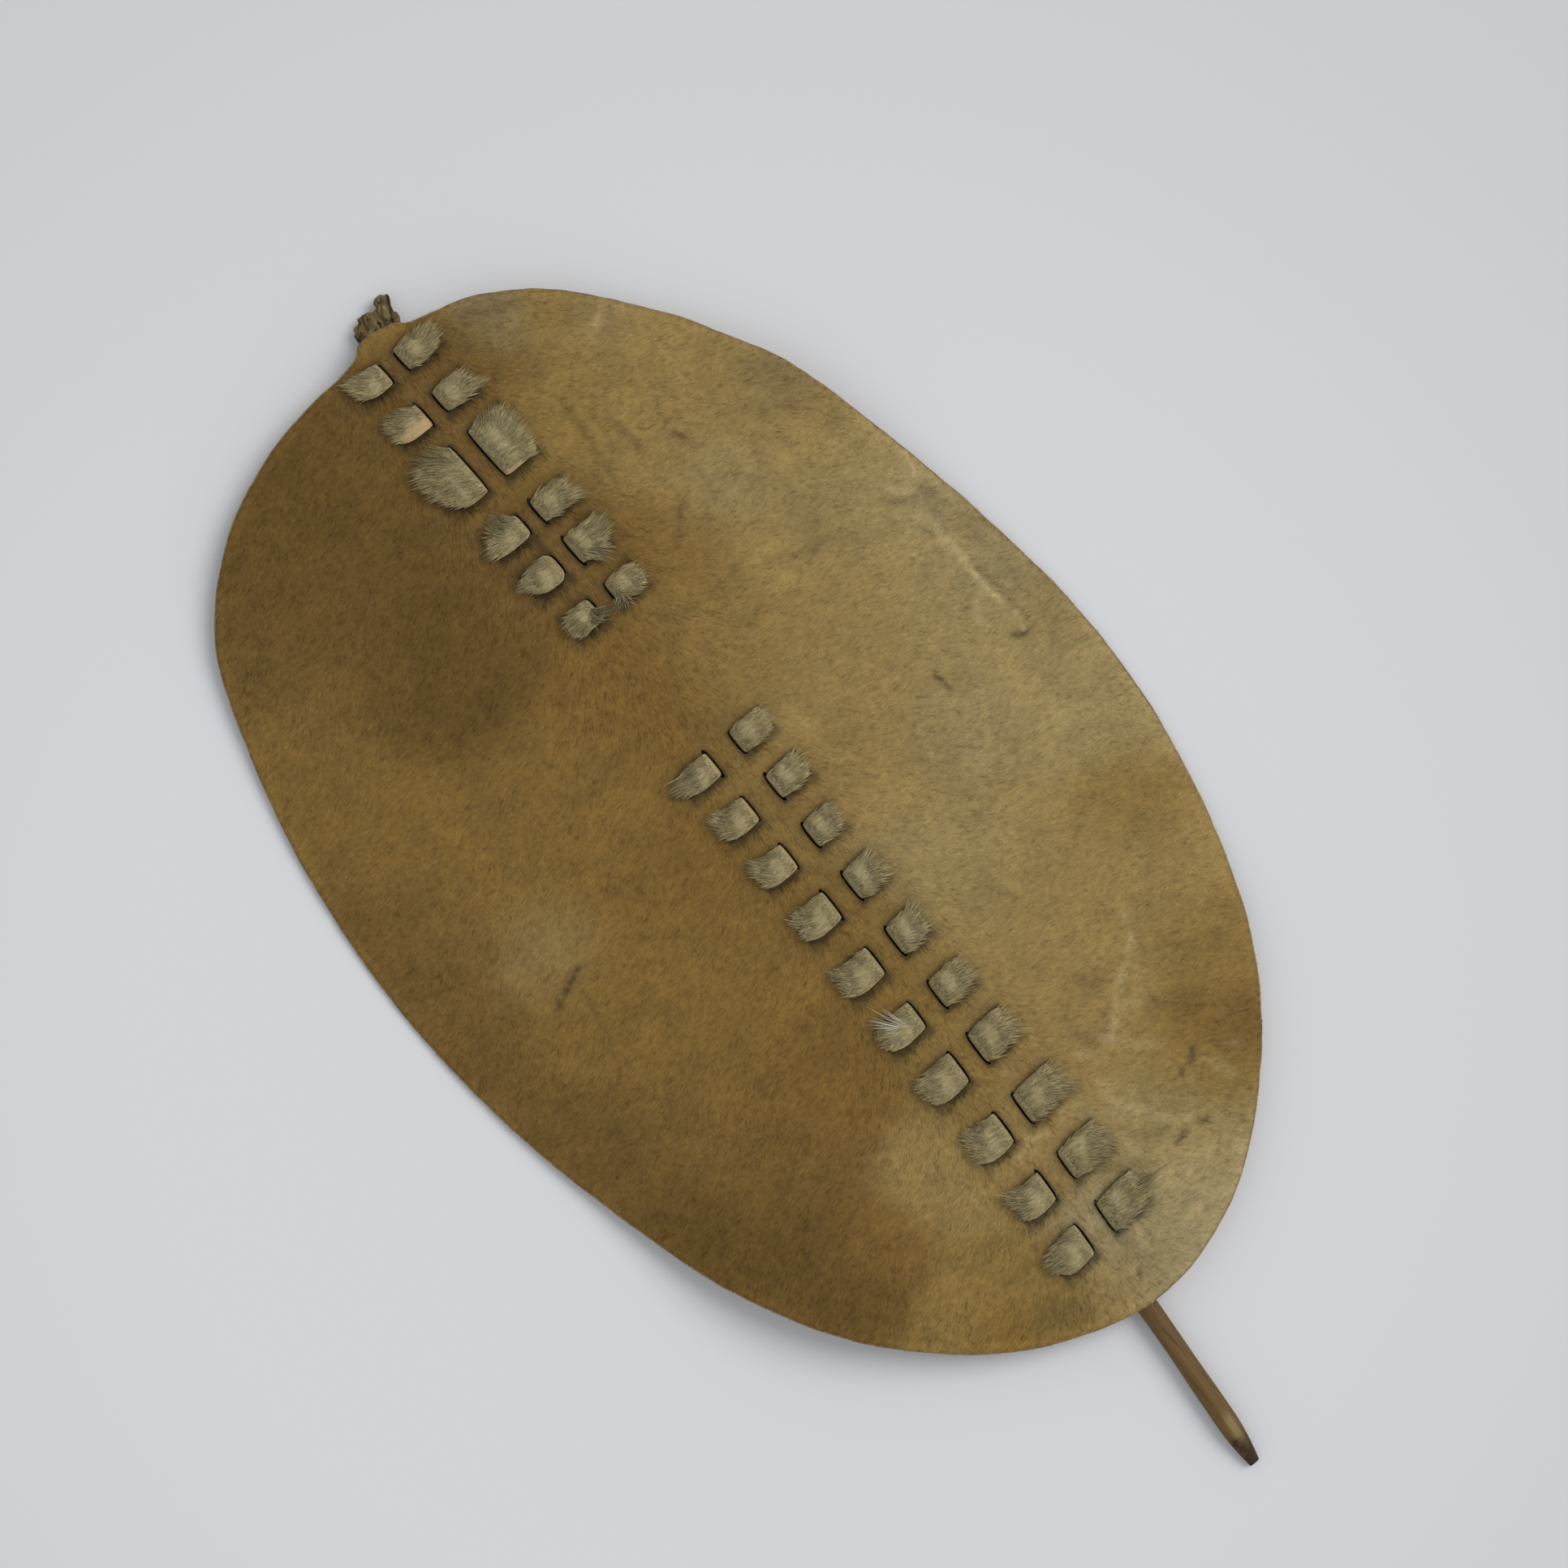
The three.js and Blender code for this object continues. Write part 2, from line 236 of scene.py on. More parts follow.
# How much a strip's lower outer, upper outer and inner corners are drawn in, where that is unlike the
# rest, by the row and the side.
DRAWN_IN = {
    (1, -1): (0.6, 0.05, 0.15), (1, 1): (0.5, 0.2, 0.12), (2, 1): (0.1, 0.6, 0.15),
    (3, -1): (0.75, 0.1, 0.05), (3, 1): (0.1, 0.15, 0.05), (4, -1): (0.2, 0.8, 0.25),
    (4, 1): (0.05, 0.6, 0.1), (5, -1): (0.7, 0.5, 0.4), (5, 1): (0.3, 0.4, 0.05),
    (6, -1): (0.35, 0.55, 0.2), (6, 1): (0.2, 0.35, 0.15),
}


def strip_taper(number, side, share, edge):
    """A strip's width at a place where it shows, as a share of its whole."""
    below, above, inner = DRAWN_IN.get((number, side), (0.42, 0.12, 0.07) if side < 0 else (0.3, 0.1, 0.1))
    past = np.clip((share - 0.4) / 0.6, 0, 1)
    return 1 - np.where(edge < 0, below, above) * past**2.6 - inner * np.clip(1 - share / 0.2, 0, 1) ** 2


def slit_loop(row, off, grown=0.0):
    """One slit's edge. It is cut a little past its strip, and gapes more on the branch's side."""
    turn = np.linspace(0, 2 * math.pi, 26, endpoint=False)
    inner = off in (-row[2], row[4])
    overcut = 1.6 + 0.7 * math.sin(row[0] * 1.7 + off) if inner else 0.2
    half = row[1] / 2 * strip_taper(ROWS.index(row) + 1, np.sign(off), 0 if inner else 1, np.cos(turn))
    along = (half + overcut + grown) * np.cos(turn)
    gape = np.where(np.sin(turn) * off > 0, 1.1, 1.9 if inner else 1.2) + grown
    across = gape * np.sign(np.sin(turn)) * np.abs(np.sin(turn)) ** 0.65
    return np.c_[row_place(row, off + across, along)]


def from_row(row, off, x, y):
    """How far places are across and along a row, from the place that is off the branch's line."""
    middle = row_place(row, off, 0)
    return rotated(x - middle[0], y - middle[1], -row_turn(row))


def slit_distance(x, y):
    """The distance from each place to the nearest slit's line."""
    nearest = np.full(np.shape(x), FAR_AWAY)
    for row in ROWS:
        for off in slits(row):
            across, along = from_row(row, off, x, y)
            along = np.abs(along) - row[1] / 2 - 1.7
            nearest = np.minimum(nearest, np.hypot(across, np.maximum(0, along)))
    return nearest


# The crease where the dried rim bends over on the right, the folds where the hair is worn pale, and the
# short scars of nicks and thorns, each as a line of places.
CREASE = ((176, 136), (170, 112), (166, 92), (164, 70), (165, 52), (167, 36), (165, 28))
FOLDS_WORN = (
    ((66, -153), (76, -147), (86, -136), (99, -128), (107, -122), (112, -111)),
    ((149, 48), (156, 54), (163, 60)), ((158, 126), (166, 114)), ((160, 105), (164, 96)),
    ((92, 276), (100, 281), (109, 286)), ((16, -243), (18, -232), (21, -224)),
    ((50, -231), (57, -237), (60, -246)), ((57, -228), (66, -224), (72, -226)),
    ((38, -246), (50, -243)), ((160, 84), (166, 96)), ((-4, -168), (6, -165), (14, -167)),
    ((20, -172), (28, -164), (38, -166)),
)
SCARS = (
    ((-131, 33), (-127, 35)), ((-124, 36), (-118, 39), (-109, 43)), ((159, 31), (163, 28), (167, 28)),
    ((92, -186), (97, -181)), ((60, -213), (64, -212), (68, -211)), ((76, -211), (80, -213)),
    ((117, 40), (118, 31)), ((84, -189), (86, -187)), ((94, 214), (97, 208)), ((5, -251), (8, -249)),
)
# Where the hair is darkened along a line: painted shade in folds and creases and where the rim bends over on
# the right, and soil in places: how wide, how strong, and along which line.
SHADED = (
    (8, 0.17, ((174, 106), (178, 80), (179, 48), (182, 24))), (4, 0.27, ((187, 88), (190, 62), (190, 34))),
    (1.3, 0.4, ((172, 120), (167.5, 100), (166, 90))), (1.3, 0.32, ((167, 68), (168.5, 46), (170, 34))),
    (1.2, 0.25, ((158, 101), (162, 94))), (8, 0.25, ((-44, -238), (-28, -243))),
    (8, 0.1, ((152, 212), (160, 190), (161, 170))), (6, 0.15, ((52, 325), (66, 318))),
    (2, 0.28, ((150, 124), (157, 118), (166, 113))), (1.8, 0.3, ((75, 236), (78, 218))),
    (1.8, 0.28, ((97, 232), (94, 220))), (1.7, 0.28, ((62, 262), (60, 238), (57, 214))),
    (2, 0.26, ((76, 188), (68, 178), (60, 171))), (2, 0.2, ((90, 137), (104, 129), (120, 125))),
    (4, 0.2, ((56, -136), (61, -147))), (5, 0.18, ((72, -119), (84, -127))),
    (5, 0.2, ((96, -151), (109, -165))), (2.2, 0.16, ((128, 203), (136, 192), (147, 186))),
    (1.8, 0.2, ((46, -196), (58, -204), (66, -203))), (2.2, 0.18, ((-120, 10), (-117, 28))),
    (3, 0.14, ((-8, 108), (-30, 112), (-52, 104))), (2.5, 0.15, ((30, 148), (52, 140), (80, 146))),
    (2, 0.2, ((24, -200), (36, -203), (44, -212))), (2, 0.2, ((-22, -168), (-14, -173))),
)


def line_distance(line, x, y):
    """The distance from each place to a line of places."""
    nearest = np.full(np.shape(x), FAR_AWAY)
    for a, b in zip(line, line[1:]):
        run = np.subtract(b, a)
        share = np.clip(((x - a[0]) * run[0] + (y - a[1]) * run[1]) / (run @ run), 0, 1)
        nearest = np.minimum(nearest, np.hypot(x - a[0] - share * run[0], y - a[1] - share * run[1]))
    return nearest


def near_lines(lines, x, y, width):
    """From 0 to 1, how close a place is to any of the lines."""
    ragged = width * (1 + 0.5 * patchy(x, y, 3.2, 7))
    return np.max([bell(line_distance(line, x, y), ragged) for line in lines], axis=0)


def patch_distance(x, y):
    """How far a place is outside the nearest patch of goat hair, as it lies on the panel."""
    nearest = np.full(np.shape(x), FAR_AWAY)
    for row in ROWS:
        for side in (-1, 1):
            inner, outer = strip_span(row, side)
            across, along = from_row(row, side * (inner + outer) / 2, x, y)
            along = np.abs(along - row_slant(row) * across) - row[1] / 2
            across = np.abs(across) - (outer - inner) / 2
            nearest = np.minimum(nearest, np.hypot(np.maximum(across, 0), np.maximum(along, 0)))
    return nearest


def folded_skin(x, y):
    """How strongly the skin is puckered, at the lower right."""
    return np.exp(-(((x - 62) / 48) ** 2) - ((y + 195) / 62) ** 2)


def panel_relief(x, y):
    """What the hair side has over its plain bowed shape."""
    swell = 0.45 * patchy(x, y, 52, 1) + 0.2 * patchy(x, y, 17, 2) + 0.13 * patchy(x, y, 7, 5)
    near = slit_distance(x, y)
    lips = 0.55 * bell(near - 1.6, 2.2)
    crease = 1.1 * near_lines([CREASE], x, y, 2.8) + 0.3 * near_lines(FOLDS_WORN, x, y, 2.4)
    crease -= 0.3 * near_lines(SCARS, x, y, 0.9)
    slanted = patchy(x * 0.8 + y * 0.6, (y * 0.8 - x * 0.6) * 0.3, 5.5, 6)
    fold = 0.5 * (folded_skin(x, y) + 0.6 * bell(x - branch_x(y), 11)) * slanted
    return swell * np.clip(near / 8, 0.1, 1) + lips + crease + fold * np.clip(near / 4, 0, 1)


# The coat's shades, and the places on the panel where each of them grows, with how far it reaches.
COAT = {
    "umber": ((95, 71, 30), (
        (-60, 300, 40), (-70, 205, 34), (-118, -132, 28), (-100, -175, 18), (-175, -35, 18),
        (-158, -85, 20), (-100, 275, 30),
    )),
    "brown": ((106, 81, 38), (
        (122, -184, 15), (40, 300, 16), (-125, 245, 34), (-172, 85, 40), (-155, -40, 34),
        (13, 210, 26), (-95, -95, 26), (8, 290, 30),
    )),
    "russet": ((113, 86, 38), (
        (-66, -236, 16), (-60, -70, 32), (-80, -157, 18), (40, 190, 16), (0, 130, 30), (-30, 40, 30),
        (14, 245, 14),
    )),
    "tan": ((119, 93, 44), (
        (12, 348, 10), (-152, 225, 16), (-150, 190, 30), (-60, 95, 36), (-90, -20, 38), (-50, 0, 36),
        (-120, 20, 24), (62, 165, 22), (9, -60, 22), (-130, 110, 30), (110, -172, 16), (-118, 142, 20),
        (10, -28, 16),
    )),
    "fawn": ((126, 102, 53), (
        (-36, -250, 20), (13, 40, 22), (58, 250, 30), (84, 300, 14), (-75, -212, 24), (8, -120, 22),
        (92, -188, 18), (50, 120, 26), (150, -62, 18), (128, -150, 20),
    )),
    "drab": ((120, 103, 68), (
        (64, 312, 14), (108, 286, 14), (154, 200, 15),
    )),
    "sand": ((136, 113, 66), (
        (-12, -256, 20), (-120, 62, 20), (100, 120, 44), (100, 225, 32), (62, -60, 30), (62, -130, 34),
        (-42, -150, 20), (145, 180, 26), (8, -165, 18), (100, 30, 44), (110, -95, 34), (100, 276, 20),
    )),
    "pale sand": ((142, 123, 79), (
        (66, -40, 30), (100, 178, 20), (145, 130, 34), (146, 50, 36), (165, -20, 28), (58, -205, 24),
    )),
    "cream": ((142, 127, 90), (
        (12, -254, 20), (34, -242, 26), (168, 112, 14), (168, 62, 15), (112, 14, 22),
    )),
}
WORN, SCAR = (172, 152, 108), (62, 50, 30)
# The paint is so much lighter than the coat looks in the light over the table.
COAT_LIGHT = 1.42


def paint(red, green, blue):
    """A colour as it looks, from 0 to 255 a part, turned into the amounts of light it gives back."""
    parts = (part / 255 for part in (red, green, blue))
    return tuple(part / 12.92 if part < 0.0404 else ((part + 0.055) / 1.055) ** 2.4 for part in parts)


def coat_colour(x, y):
    """The hair's colour: its zones, blotches, worn folds and scars, and painted shade with some soil round
    the strips, along folds and at the rim.
    """
    total = np.zeros(np.shape(x) + (3,))
    weight = np.zeros(np.shape(x) + (1,))
    for shade, zones in COAT.values():
        for zone in zones:
            near = around(x, y, *zone)[..., None] + 1e-6
            total += near * paint(*shade)
            weight += near
    blotches = 1 + 0.13 * patchy(x, y, 26, 11) + 0.12 * patchy(x, y, 11, 17) + 0.11 * patchy(x, y, 5.5, 12)
    colour = total / weight * (blotches * COAT_LIGHT)[..., None]
    broken = np.clip(0.65 + 1.3 * patchy(x, y, 8, 19), 0.05, 1)
    worn = (0.55 * near_lines(FOLDS_WORN, x, y, 2.0) + 0.85 * near_lines([CREASE], x, y, 1.4)) * broken
    puckered = np.clip(patchy(x * 0.8 + y * 0.6, (y * 0.8 - x * 0.6) * 0.45, 8, 18) * 2.2 - 0.35, 0, 1)
    worn = np.clip(worn + 0.55 * puckered * folded_skin(x, y), 0, 0.8)[..., None]
    colour = colour * (1 - worn) + worn * np.array(paint(*WORN)) * COAT_LIGHT
    scar = 0.75 * near_lines(SCARS, x, y, 1.5)[..., None]
    colour = colour * (1 - scar) + scar * np.array(paint(*SCAR))
    # Round each patch the coat is painted darker, most of all under its inner and lower edges: painted shade
    # of the patch standing off the panel, with some soil.
    beside = patch_distance(x + 0.7 * np.sign(x - branch_x(y)), y + 1.2)
    soil_and_shade = 0.76 * bell(beside, 1.8) + 0.2 * bell(patch_distance(x, y), 5)
    # The lines in SHADED darken the coat: painted shade, with some soil.
    for wide, strength, line in SHADED:
        soil_and_shade += strength * near_lines([line], x, y, wide)
    # The coat is darkened in a thin band along the rim, a painted shade at its edge, and a band a little
    # inside it is lighter.
    inside = rim_distance(x, y)
    soil_and_shade += 0.45 * bell(inside, 1.3) - 0.14 * bell(inside - 3.6, 1.6)
    return colour * np.clip(1 - soil_and_shade, 0.3, 1.2)[..., None]


def rim_distance(x, y):
    """About how far inside the rim a place is."""
    rim = panel_outline(300)
    gaps = np.hypot(x[:, None] - rim[:, 0], y[:, None] - rim[:, 1])
    return gaps.min(axis=1)


def coat_lay(x, y):
    """The way the hair lies: outward from the branch and a little down the shield."""
    off = x - branch_x(y)
    swirl = 0.5 * patchy(x, y, 60, 13) + 0.35 * patchy(x, y, 13, 14)
    turn = np.where(off < 0, math.pi + 0.35, -0.35) + swirl
    lay = np.stack([np.cos(turn), np.sin(turn) - 1.6 * bell(off, 30)], axis=-1)
    lay[..., 0] *= np.tanh(np.abs(off) / 30)
    return unit(lay)


def build_mesh(name, points, faces, owners=None, finishes=()):
    """A piece from points in millimetres. owners gives each face the number of its finish."""
    mesh = bpy.data.meshes.new(name)
    mesh.from_pydata((np.asarray(points, float) * MM).tolist(), [], faces)
    for finish in finishes:
        mesh.materials.append(finish)
    if owners is not None:
        mesh.polygons.foreach_set("material_index", np.asarray(owners, np.int32))
    mesh.polygons.foreach_set("use_smooth", np.ones(len(mesh.polygons), bool))
    mesh.update()
    return add_to_scene(name, mesh)


def mark(mesh, name, values):
    """Gives each point of a mesh a value, a direction or, if its name is coat, a colour by name."""
    values = np.asarray(values, np.float32)
    kind, key = ("FLOAT_VECTOR", "vector") if values.ndim > 1 else ("FLOAT", "value")
    if name == "coat":
        kind, key = "FLOAT_COLOR", "color"
        values = np.hstack([values, np.ones((len(values), 1), np.float32)])
    mesh.attributes.new(name, kind, "POINT").data.foreach_set(key, values.ravel())


class Nodes:
    """A tree of nodes in the making."""

    def __init__(self, tree):
        self.tree = tree

    def add(self, kind, inputs=(), **settings):
        """Adds a node. An input is a number, or the socket that it is linked to."""
        made = self.tree.nodes.new(kind)
        for key, value in settings.items():
            setattr(made, key, value)
        for key, value in dict(inputs).items():
            if isinstance(value, bpy.types.NodeSocket):
                self.tree.links.new(value, made.inputs[key])
            else:
                made.inputs[key].default_value = value
        return made

    def out(self, kind, inputs=(), output=0, **settings):
        return self.add(kind, inputs, **settings).outputs[output]

    def maths(self, way, first, second):
        return self.out("ShaderNodeMath", {0: first, 1: second}, operation=way)

    def scaled(self, vector, amount):
        """A direction made longer or shorter, or a colour made lighter or darker."""
        return self.out("ShaderNodeVectorMath", {0: vector, "Scale": amount}, operation="SCALE")


class Finish(Nodes):
    """A material in the making, in layers of paint, each over the ones before it."""

    def __init__(self, name, roughness, specular=0.4):
        self.made = bpy.data.materials.new(name)
        self.made.use_nodes = True
        super().__init__(self.made.node_tree)
        self.shader = self.tree.nodes["Principled BSDF"].inputs
        self.shader["Roughness"].default_value = roughness
        self.shader["Specular IOR Level"].default_value = specular
        self.place = self.out("ShaderNodeTexCoord", (), "Object")

    def specks(self, scale, detail=4.0, rough=0.55, turn=0.0):
        """Random specks, so many to a metre, or so many along each axis."""
        scale = scale if isinstance(scale, tuple) else (scale,) * 3
        inputs = {"Vector": self.place, "Scale": scale, "Rotation": (0, 0, turn)}
        inputs = {"Vector": self.out("ShaderNodeMapping", inputs), "Scale": 1.0}
        return self.out("ShaderNodeTexNoise", {**inputs, "Detail": detail, "Roughness": rough})

    def ramped(self, value, low, high, start=0.0, end=1.0):
        inputs = {"Value": value, "From Min": start, "From Max": end, "To Min": low, "To Max": high}
        return self.out("ShaderNodeMapRange", inputs)

    def named(self, name, output="Fac"):
        return self.out("ShaderNodeAttribute", (), output, attribute_name=name)

    def lay(self, colour, where=None, most=1, start=0.0, end=1.0):
        """Lays on a colour: all over, or where a value goes from its start to its end."""
        colour = paint(*colour) + (1,) if isinstance(colour, tuple) else colour
        if where is not None:
            inputs = {0: self.ramped(where, 0, most, start, end), 6: self.colour, 7: colour}
            colour = self.out("ShaderNodeMix", inputs, 2, data_type="RGBA")
        self.colour = colour

    def done(self, relief=None, depth=0.3, strength=1.0):
        """Puts the paint and the relief, so many millimetres deep, on the material."""
        self.tree.links.new(self.colour, self.shader["Base Color"])
        if relief is not None:
            inputs = {"Height": relief, "Distance": depth * MM, "Strength": strength}
            self.tree.links.new(self.out("ShaderNodeBump", inputs), self.shader["Normal"])
        return self.made


def coat_skin_finish():
    finish = Finish("coat_underlayer", 0.72, 0.25)
    hairs = finish.specks((260, 1500, 600), 5.0, 0.6, 0.15)
    dabs = finish.specks((300, 480, 400), 3.0)
    light = finish.ramped(hairs, 0.78, 1.12, 0.3, 0.7)
    light = finish.maths("MULTIPLY", light, finish.ramped(dabs, 0.9, 1.1, 0.3, 0.7))
    finish.lay(finish.scaled(finish.named("coat", "Color"), light))
    return finish.done(finish.maths("ADD", hairs, dabs), 0.35, 0.8)


def cut_edge_finish():
    finish = Finish("cut_rawhide", 0.6)
    layers = finish.specks((420, 420, 2600))
    finish.lay((120, 92, 54))
    finish.lay((168, 140, 92), layers, 1, 0.3, 0.7)
    finish.lay((82, 60, 34), finish.specks(90), 0.75, 0.45, 0.7)
    # The slits' walls are painted near black: painted shade in the slits.
    finish.lay((38, 25, 14), finish.named("painted_slit_shade"))
    return finish.done(layers, 0.25)


def flesh_side_finish():
    finish = Finish("scraped_flesh_side", 0.55)
    cloud = finish.specks(14, 5.0)
    scrape = finish.specks((900, 60, 200), turn=0.25)
    veins = finish.specks((60, 90, 60), 8.0, 0.7)
    finish.lay((176, 146, 98))
    finish.lay((204, 180, 136), cloud, 1, 0.35, 0.65)
    finish.lay((138, 104, 62), veins, 0.8, 0.52, 0.72)
    finish.lay((222, 204, 166), scrape, 0.35, 0.5, 0.8)
    finish.tree.links.new(finish.ramped(cloud, 0.45, 0.68, 0.3, 0.7), finish.shader["Roughness"])
    return finish.done(finish.maths("ADD", scrape, veins), 0.4)


# How many points the rim has, how far apart the panel's other points are and over what field, how far
# they stay from the slits and the rim, the panel's middle, and its rim's rounding: inward and down.
RIM_POINTS = 1010
LATTICE_STEP = 2.55
FIELD_X, FIELD_Y = (-196, 197), (-270, 350)
SLIT_MARGIN, RIM_MARGIN = 4.6, 3.0
MIDDLE_Y = 36
RIM_ROUNDING = ((0.28, -0.3), (0.0, -0.95), (0.05, -1.75), (0.3, -2.3))


def panel_lattice(rim):
    """Points all over the panel, clear of its rim and its slits."""
    step = LATTICE_STEP
    grid_x, grid_y = np.meshgrid(np.arange(*FIELD_X, step), np.arange(*FIELD_Y, step * 0.866))
    grid_x[::2] += step / 2
    lattice = np.c_[grid_x.ravel(), grid_y.ravel()]
    lattice += np.random.default_rng(5).uniform(-0.4, 0.4, lattice.shape)
    lattice = lattice[slit_distance(*lattice.T) > SLIT_MARGIN]

    def polar(points):
        x, y = points[:, 0], points[:, 1] - MIDDLE_Y
        return np.arctan2(y, x), np.hypot(x, y)

    turn, reach = polar(rim)
    order = np.argsort(turn)
    at, away = polar(lattice)
    return lattice[away < np.interp(at, turn[order], reach[order], period=2 * math.pi) - RIM_MARGIN]


def build_panel():
    rim = panel_outline(RIM_POINTS)
    loops = [slit_loop(row, off) for row in ROWS for off in slits(row)]
    rings = [slit_loop(row, off, grown) for row in ROWS for off in slits(row) for grown in (0.9, 2.1)]
    inset, inner = (rim - loop_normals(rim) * inward for inward in (0.75, 2.2))
    plan = np.vstack([inset, *loops, *rings, inner[::2], panel_lattice(rim)])
    starts = np.cumsum([0, len(rim)] + [len(loop) for loop in loops])
    edges = []
    for start, end in zip(starts, starts[1:]):
        edges += [(k, k + 1 if k + 1 < end else start) for k in range(start, end)]
    laid, _, faces, *_ = delaunay_2d_cdt([Vector(p) for p in plan], edges, [], 1, 1e-5)
    assert len(laid) == len(plan)
    # The faces that join only one slit's points are inside it, and are left out.
    faces = np.array(faces)
    owner = np.searchsorted(starts, np.arange(len(plan)), side="right")
    owner[starts[-1] :] = owner[: starts[1]] = 0
    faces = faces[(owner[faces[:, 0]] == 0) | (owner[faces] != owner[faces[:, :1]]).any(axis=1)]
    a, b, c = (plan[faces[:, k]] for k in range(3))
    turned = (b - a)[:, 0] * (c - a)[:, 1] - (b - a)[:, 1] * (c - a)[:, 0] < 0
    faces[turned] = faces[turned][:, ::-1]

    top = hide_top(*plan.T) + panel_relief(*plan.T)
    under = np.maximum(0.05, hide_under(*plan.T) + 0.25 * patchy(*plan.T, 24, 8))
    count = len(plan)
    points = [np.c_[plan, top], np.c_[plan, under]]
    blocks = [faces, faces[:, ::-1] + count]
    owners = [np.zeros(len(faces)), np.full(len(faces), 2)]
    painted_slit_shade = [np.zeros(2 * count)]

    def wall(rows):
        """Quads between loops of points, the first and the last of which are there already."""
        for upper, lower in zip(rows, rows[1:]):
            blocks.append(np.stack([lower, np.roll(lower, -1), np.roll(upper, -1), upper], axis=1))
            owners.append(np.ones(len(upper)))

    added = 2 * count
    rows = [np.arange(len(rim))]
    for inward, down in RIM_ROUNDING:
        ring = rim - loop_normals(rim) * inward
        wear = 0.12 * patchy(*ring.T, 1.7, 9)
        points.append(np.c_[ring, np.maximum(0.08, top[: len(rim)] + down + wear)])
        painted_slit_shade.append(np.zeros(len(rim)))
        rows.append(added + np.arange(len(rim)))
        added += len(rim)
    wall([*rows, count + rows[0]])
    for start, loop in zip(starts[1:], loops):
        # A slit's wall faces inwards, so its loop has to run clockwise.
        ring = np.arange(start, start + len(loop))
        area = np.sum(loop[:, 0] * np.roll(loop[:, 1], -1) - np.roll(loop[:, 0], -1) * loop[:, 1])
        ring = ring[::-1] if area > 0 else ring
        middle = plan[ring] * 0.97 + plan[ring].mean(axis=0) * 0.03
        points.append(np.c_[middle, top[ring] - 0.7])
        # Each slit's wall is marked for painted shade.
        painted_slit_shade.append(np.ones(len(ring)))
        wall([ring, added + np.arange(len(ring)), count + ring])
        added += len(ring)

    faces = [tuple(face) for block in blocks for face in block.tolist()]
    finishes = (coat_skin_finish(), cut_edge_finish(), flesh_side_finish())
    points = np.vstack(points)
    panel = build_mesh("panel", points, faces, np.concatenate(owners), finishes)
    mark(panel.data, "coat", coat_colour(*points.T[:2]))
    mark(panel.data, "painted_slit_shade", np.concatenate(painted_slit_shade))
    panel.data.set_sharp_from_angle(angle=math.radians(50))
    return panel, (points[:count], np.array(faces[: len(blocks[0])]))


panel, panel_front = build_panel()
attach(panel, "root")
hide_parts("hide_panel")

# ---- The branch ----
# A straight-grained branch, peeled and whittled with a knife, that stiffens the panel from behind. It
# is held by the strips alone. Its foot is whittled from above to a blunt point, dark from the ground.

# How long the foot's taper is and how thick its tip, as a share of the branch, the same for the thinned
# top end, and the place near the foot that hands have rubbed pale.
TAPER_LENGTH = 26
POINT_SIZE = 0.5
TENON_LENGTH = 13
TENON_SIZE = 0.55
HANDLED_Y = -338.5


def loft(name, rings, finishes, owners=None):
    """A closed piece through rings of points, its two ends closed by fans. owners gives each side the
    number of its finish, and the last one is the ends' too."""
    rings = np.asarray(rings, float)
    rows, sides = rings.shape[:2]
    points = np.vstack([rings.reshape(-1, 3), rings[0].mean(axis=0), rings[-1].mean(axis=0)])
    grid = np.arange(rows * sides).reshape(rows, sides)
    onward = np.roll(grid, -1, axis=1)
    faces = np.stack([grid[:-1], onward[:-1], onward[1:], grid[1:]], axis=-1).reshape(-1, 4).tolist()
    faces += [(rows * sides, far, near) for near, far in zip(grid[0], onward[0])]
    faces += [(rows * sides + 1, near, far) for near, far in zip(grid[-1], onward[-1])]
    owners = owners or [0] * sides
    piece = build_mesh(name, points, faces, owners * (rows - 1) + owners[-1:] * sides * 2, finishes)
    piece.data.set_sharp_from_angle(angle=math.radians(55))
    return piece


def peeled_wood_finish():
    finish = Finish("peeled_branch", 0.55, 0.25)
    grain = finish.specks((900, 26, 900), 5.0, 0.6)
    finish.lay((84, 61, 30))
    finish.lay((120, 91, 48), grain, 1, 0.3, 0.7)
    finish.lay((130, 102, 58), finish.specks((240, 16, 240), 3.0), 0.5, 0.45, 0.75)
    finish.lay((143, 124, 76), finish.named("handled"))
    up = finish.out("ShaderNodeSeparateXYZ", {0: finish.place}, 1)
    soil_and_shade = finish.maths("ADD", up, finish.ramped(finish.specks(160), -0.008, 0.008, 0.3, 0.7))
    finish.lay((58, 42, 24), soil_and_shade, 1, -0.343, -0.352)
    finish.tree.links.new(finish.ramped(grain, 0.42, 0.62, 0.3, 0.7), finish.shader["Roughness"])
    return finish.done(grain)


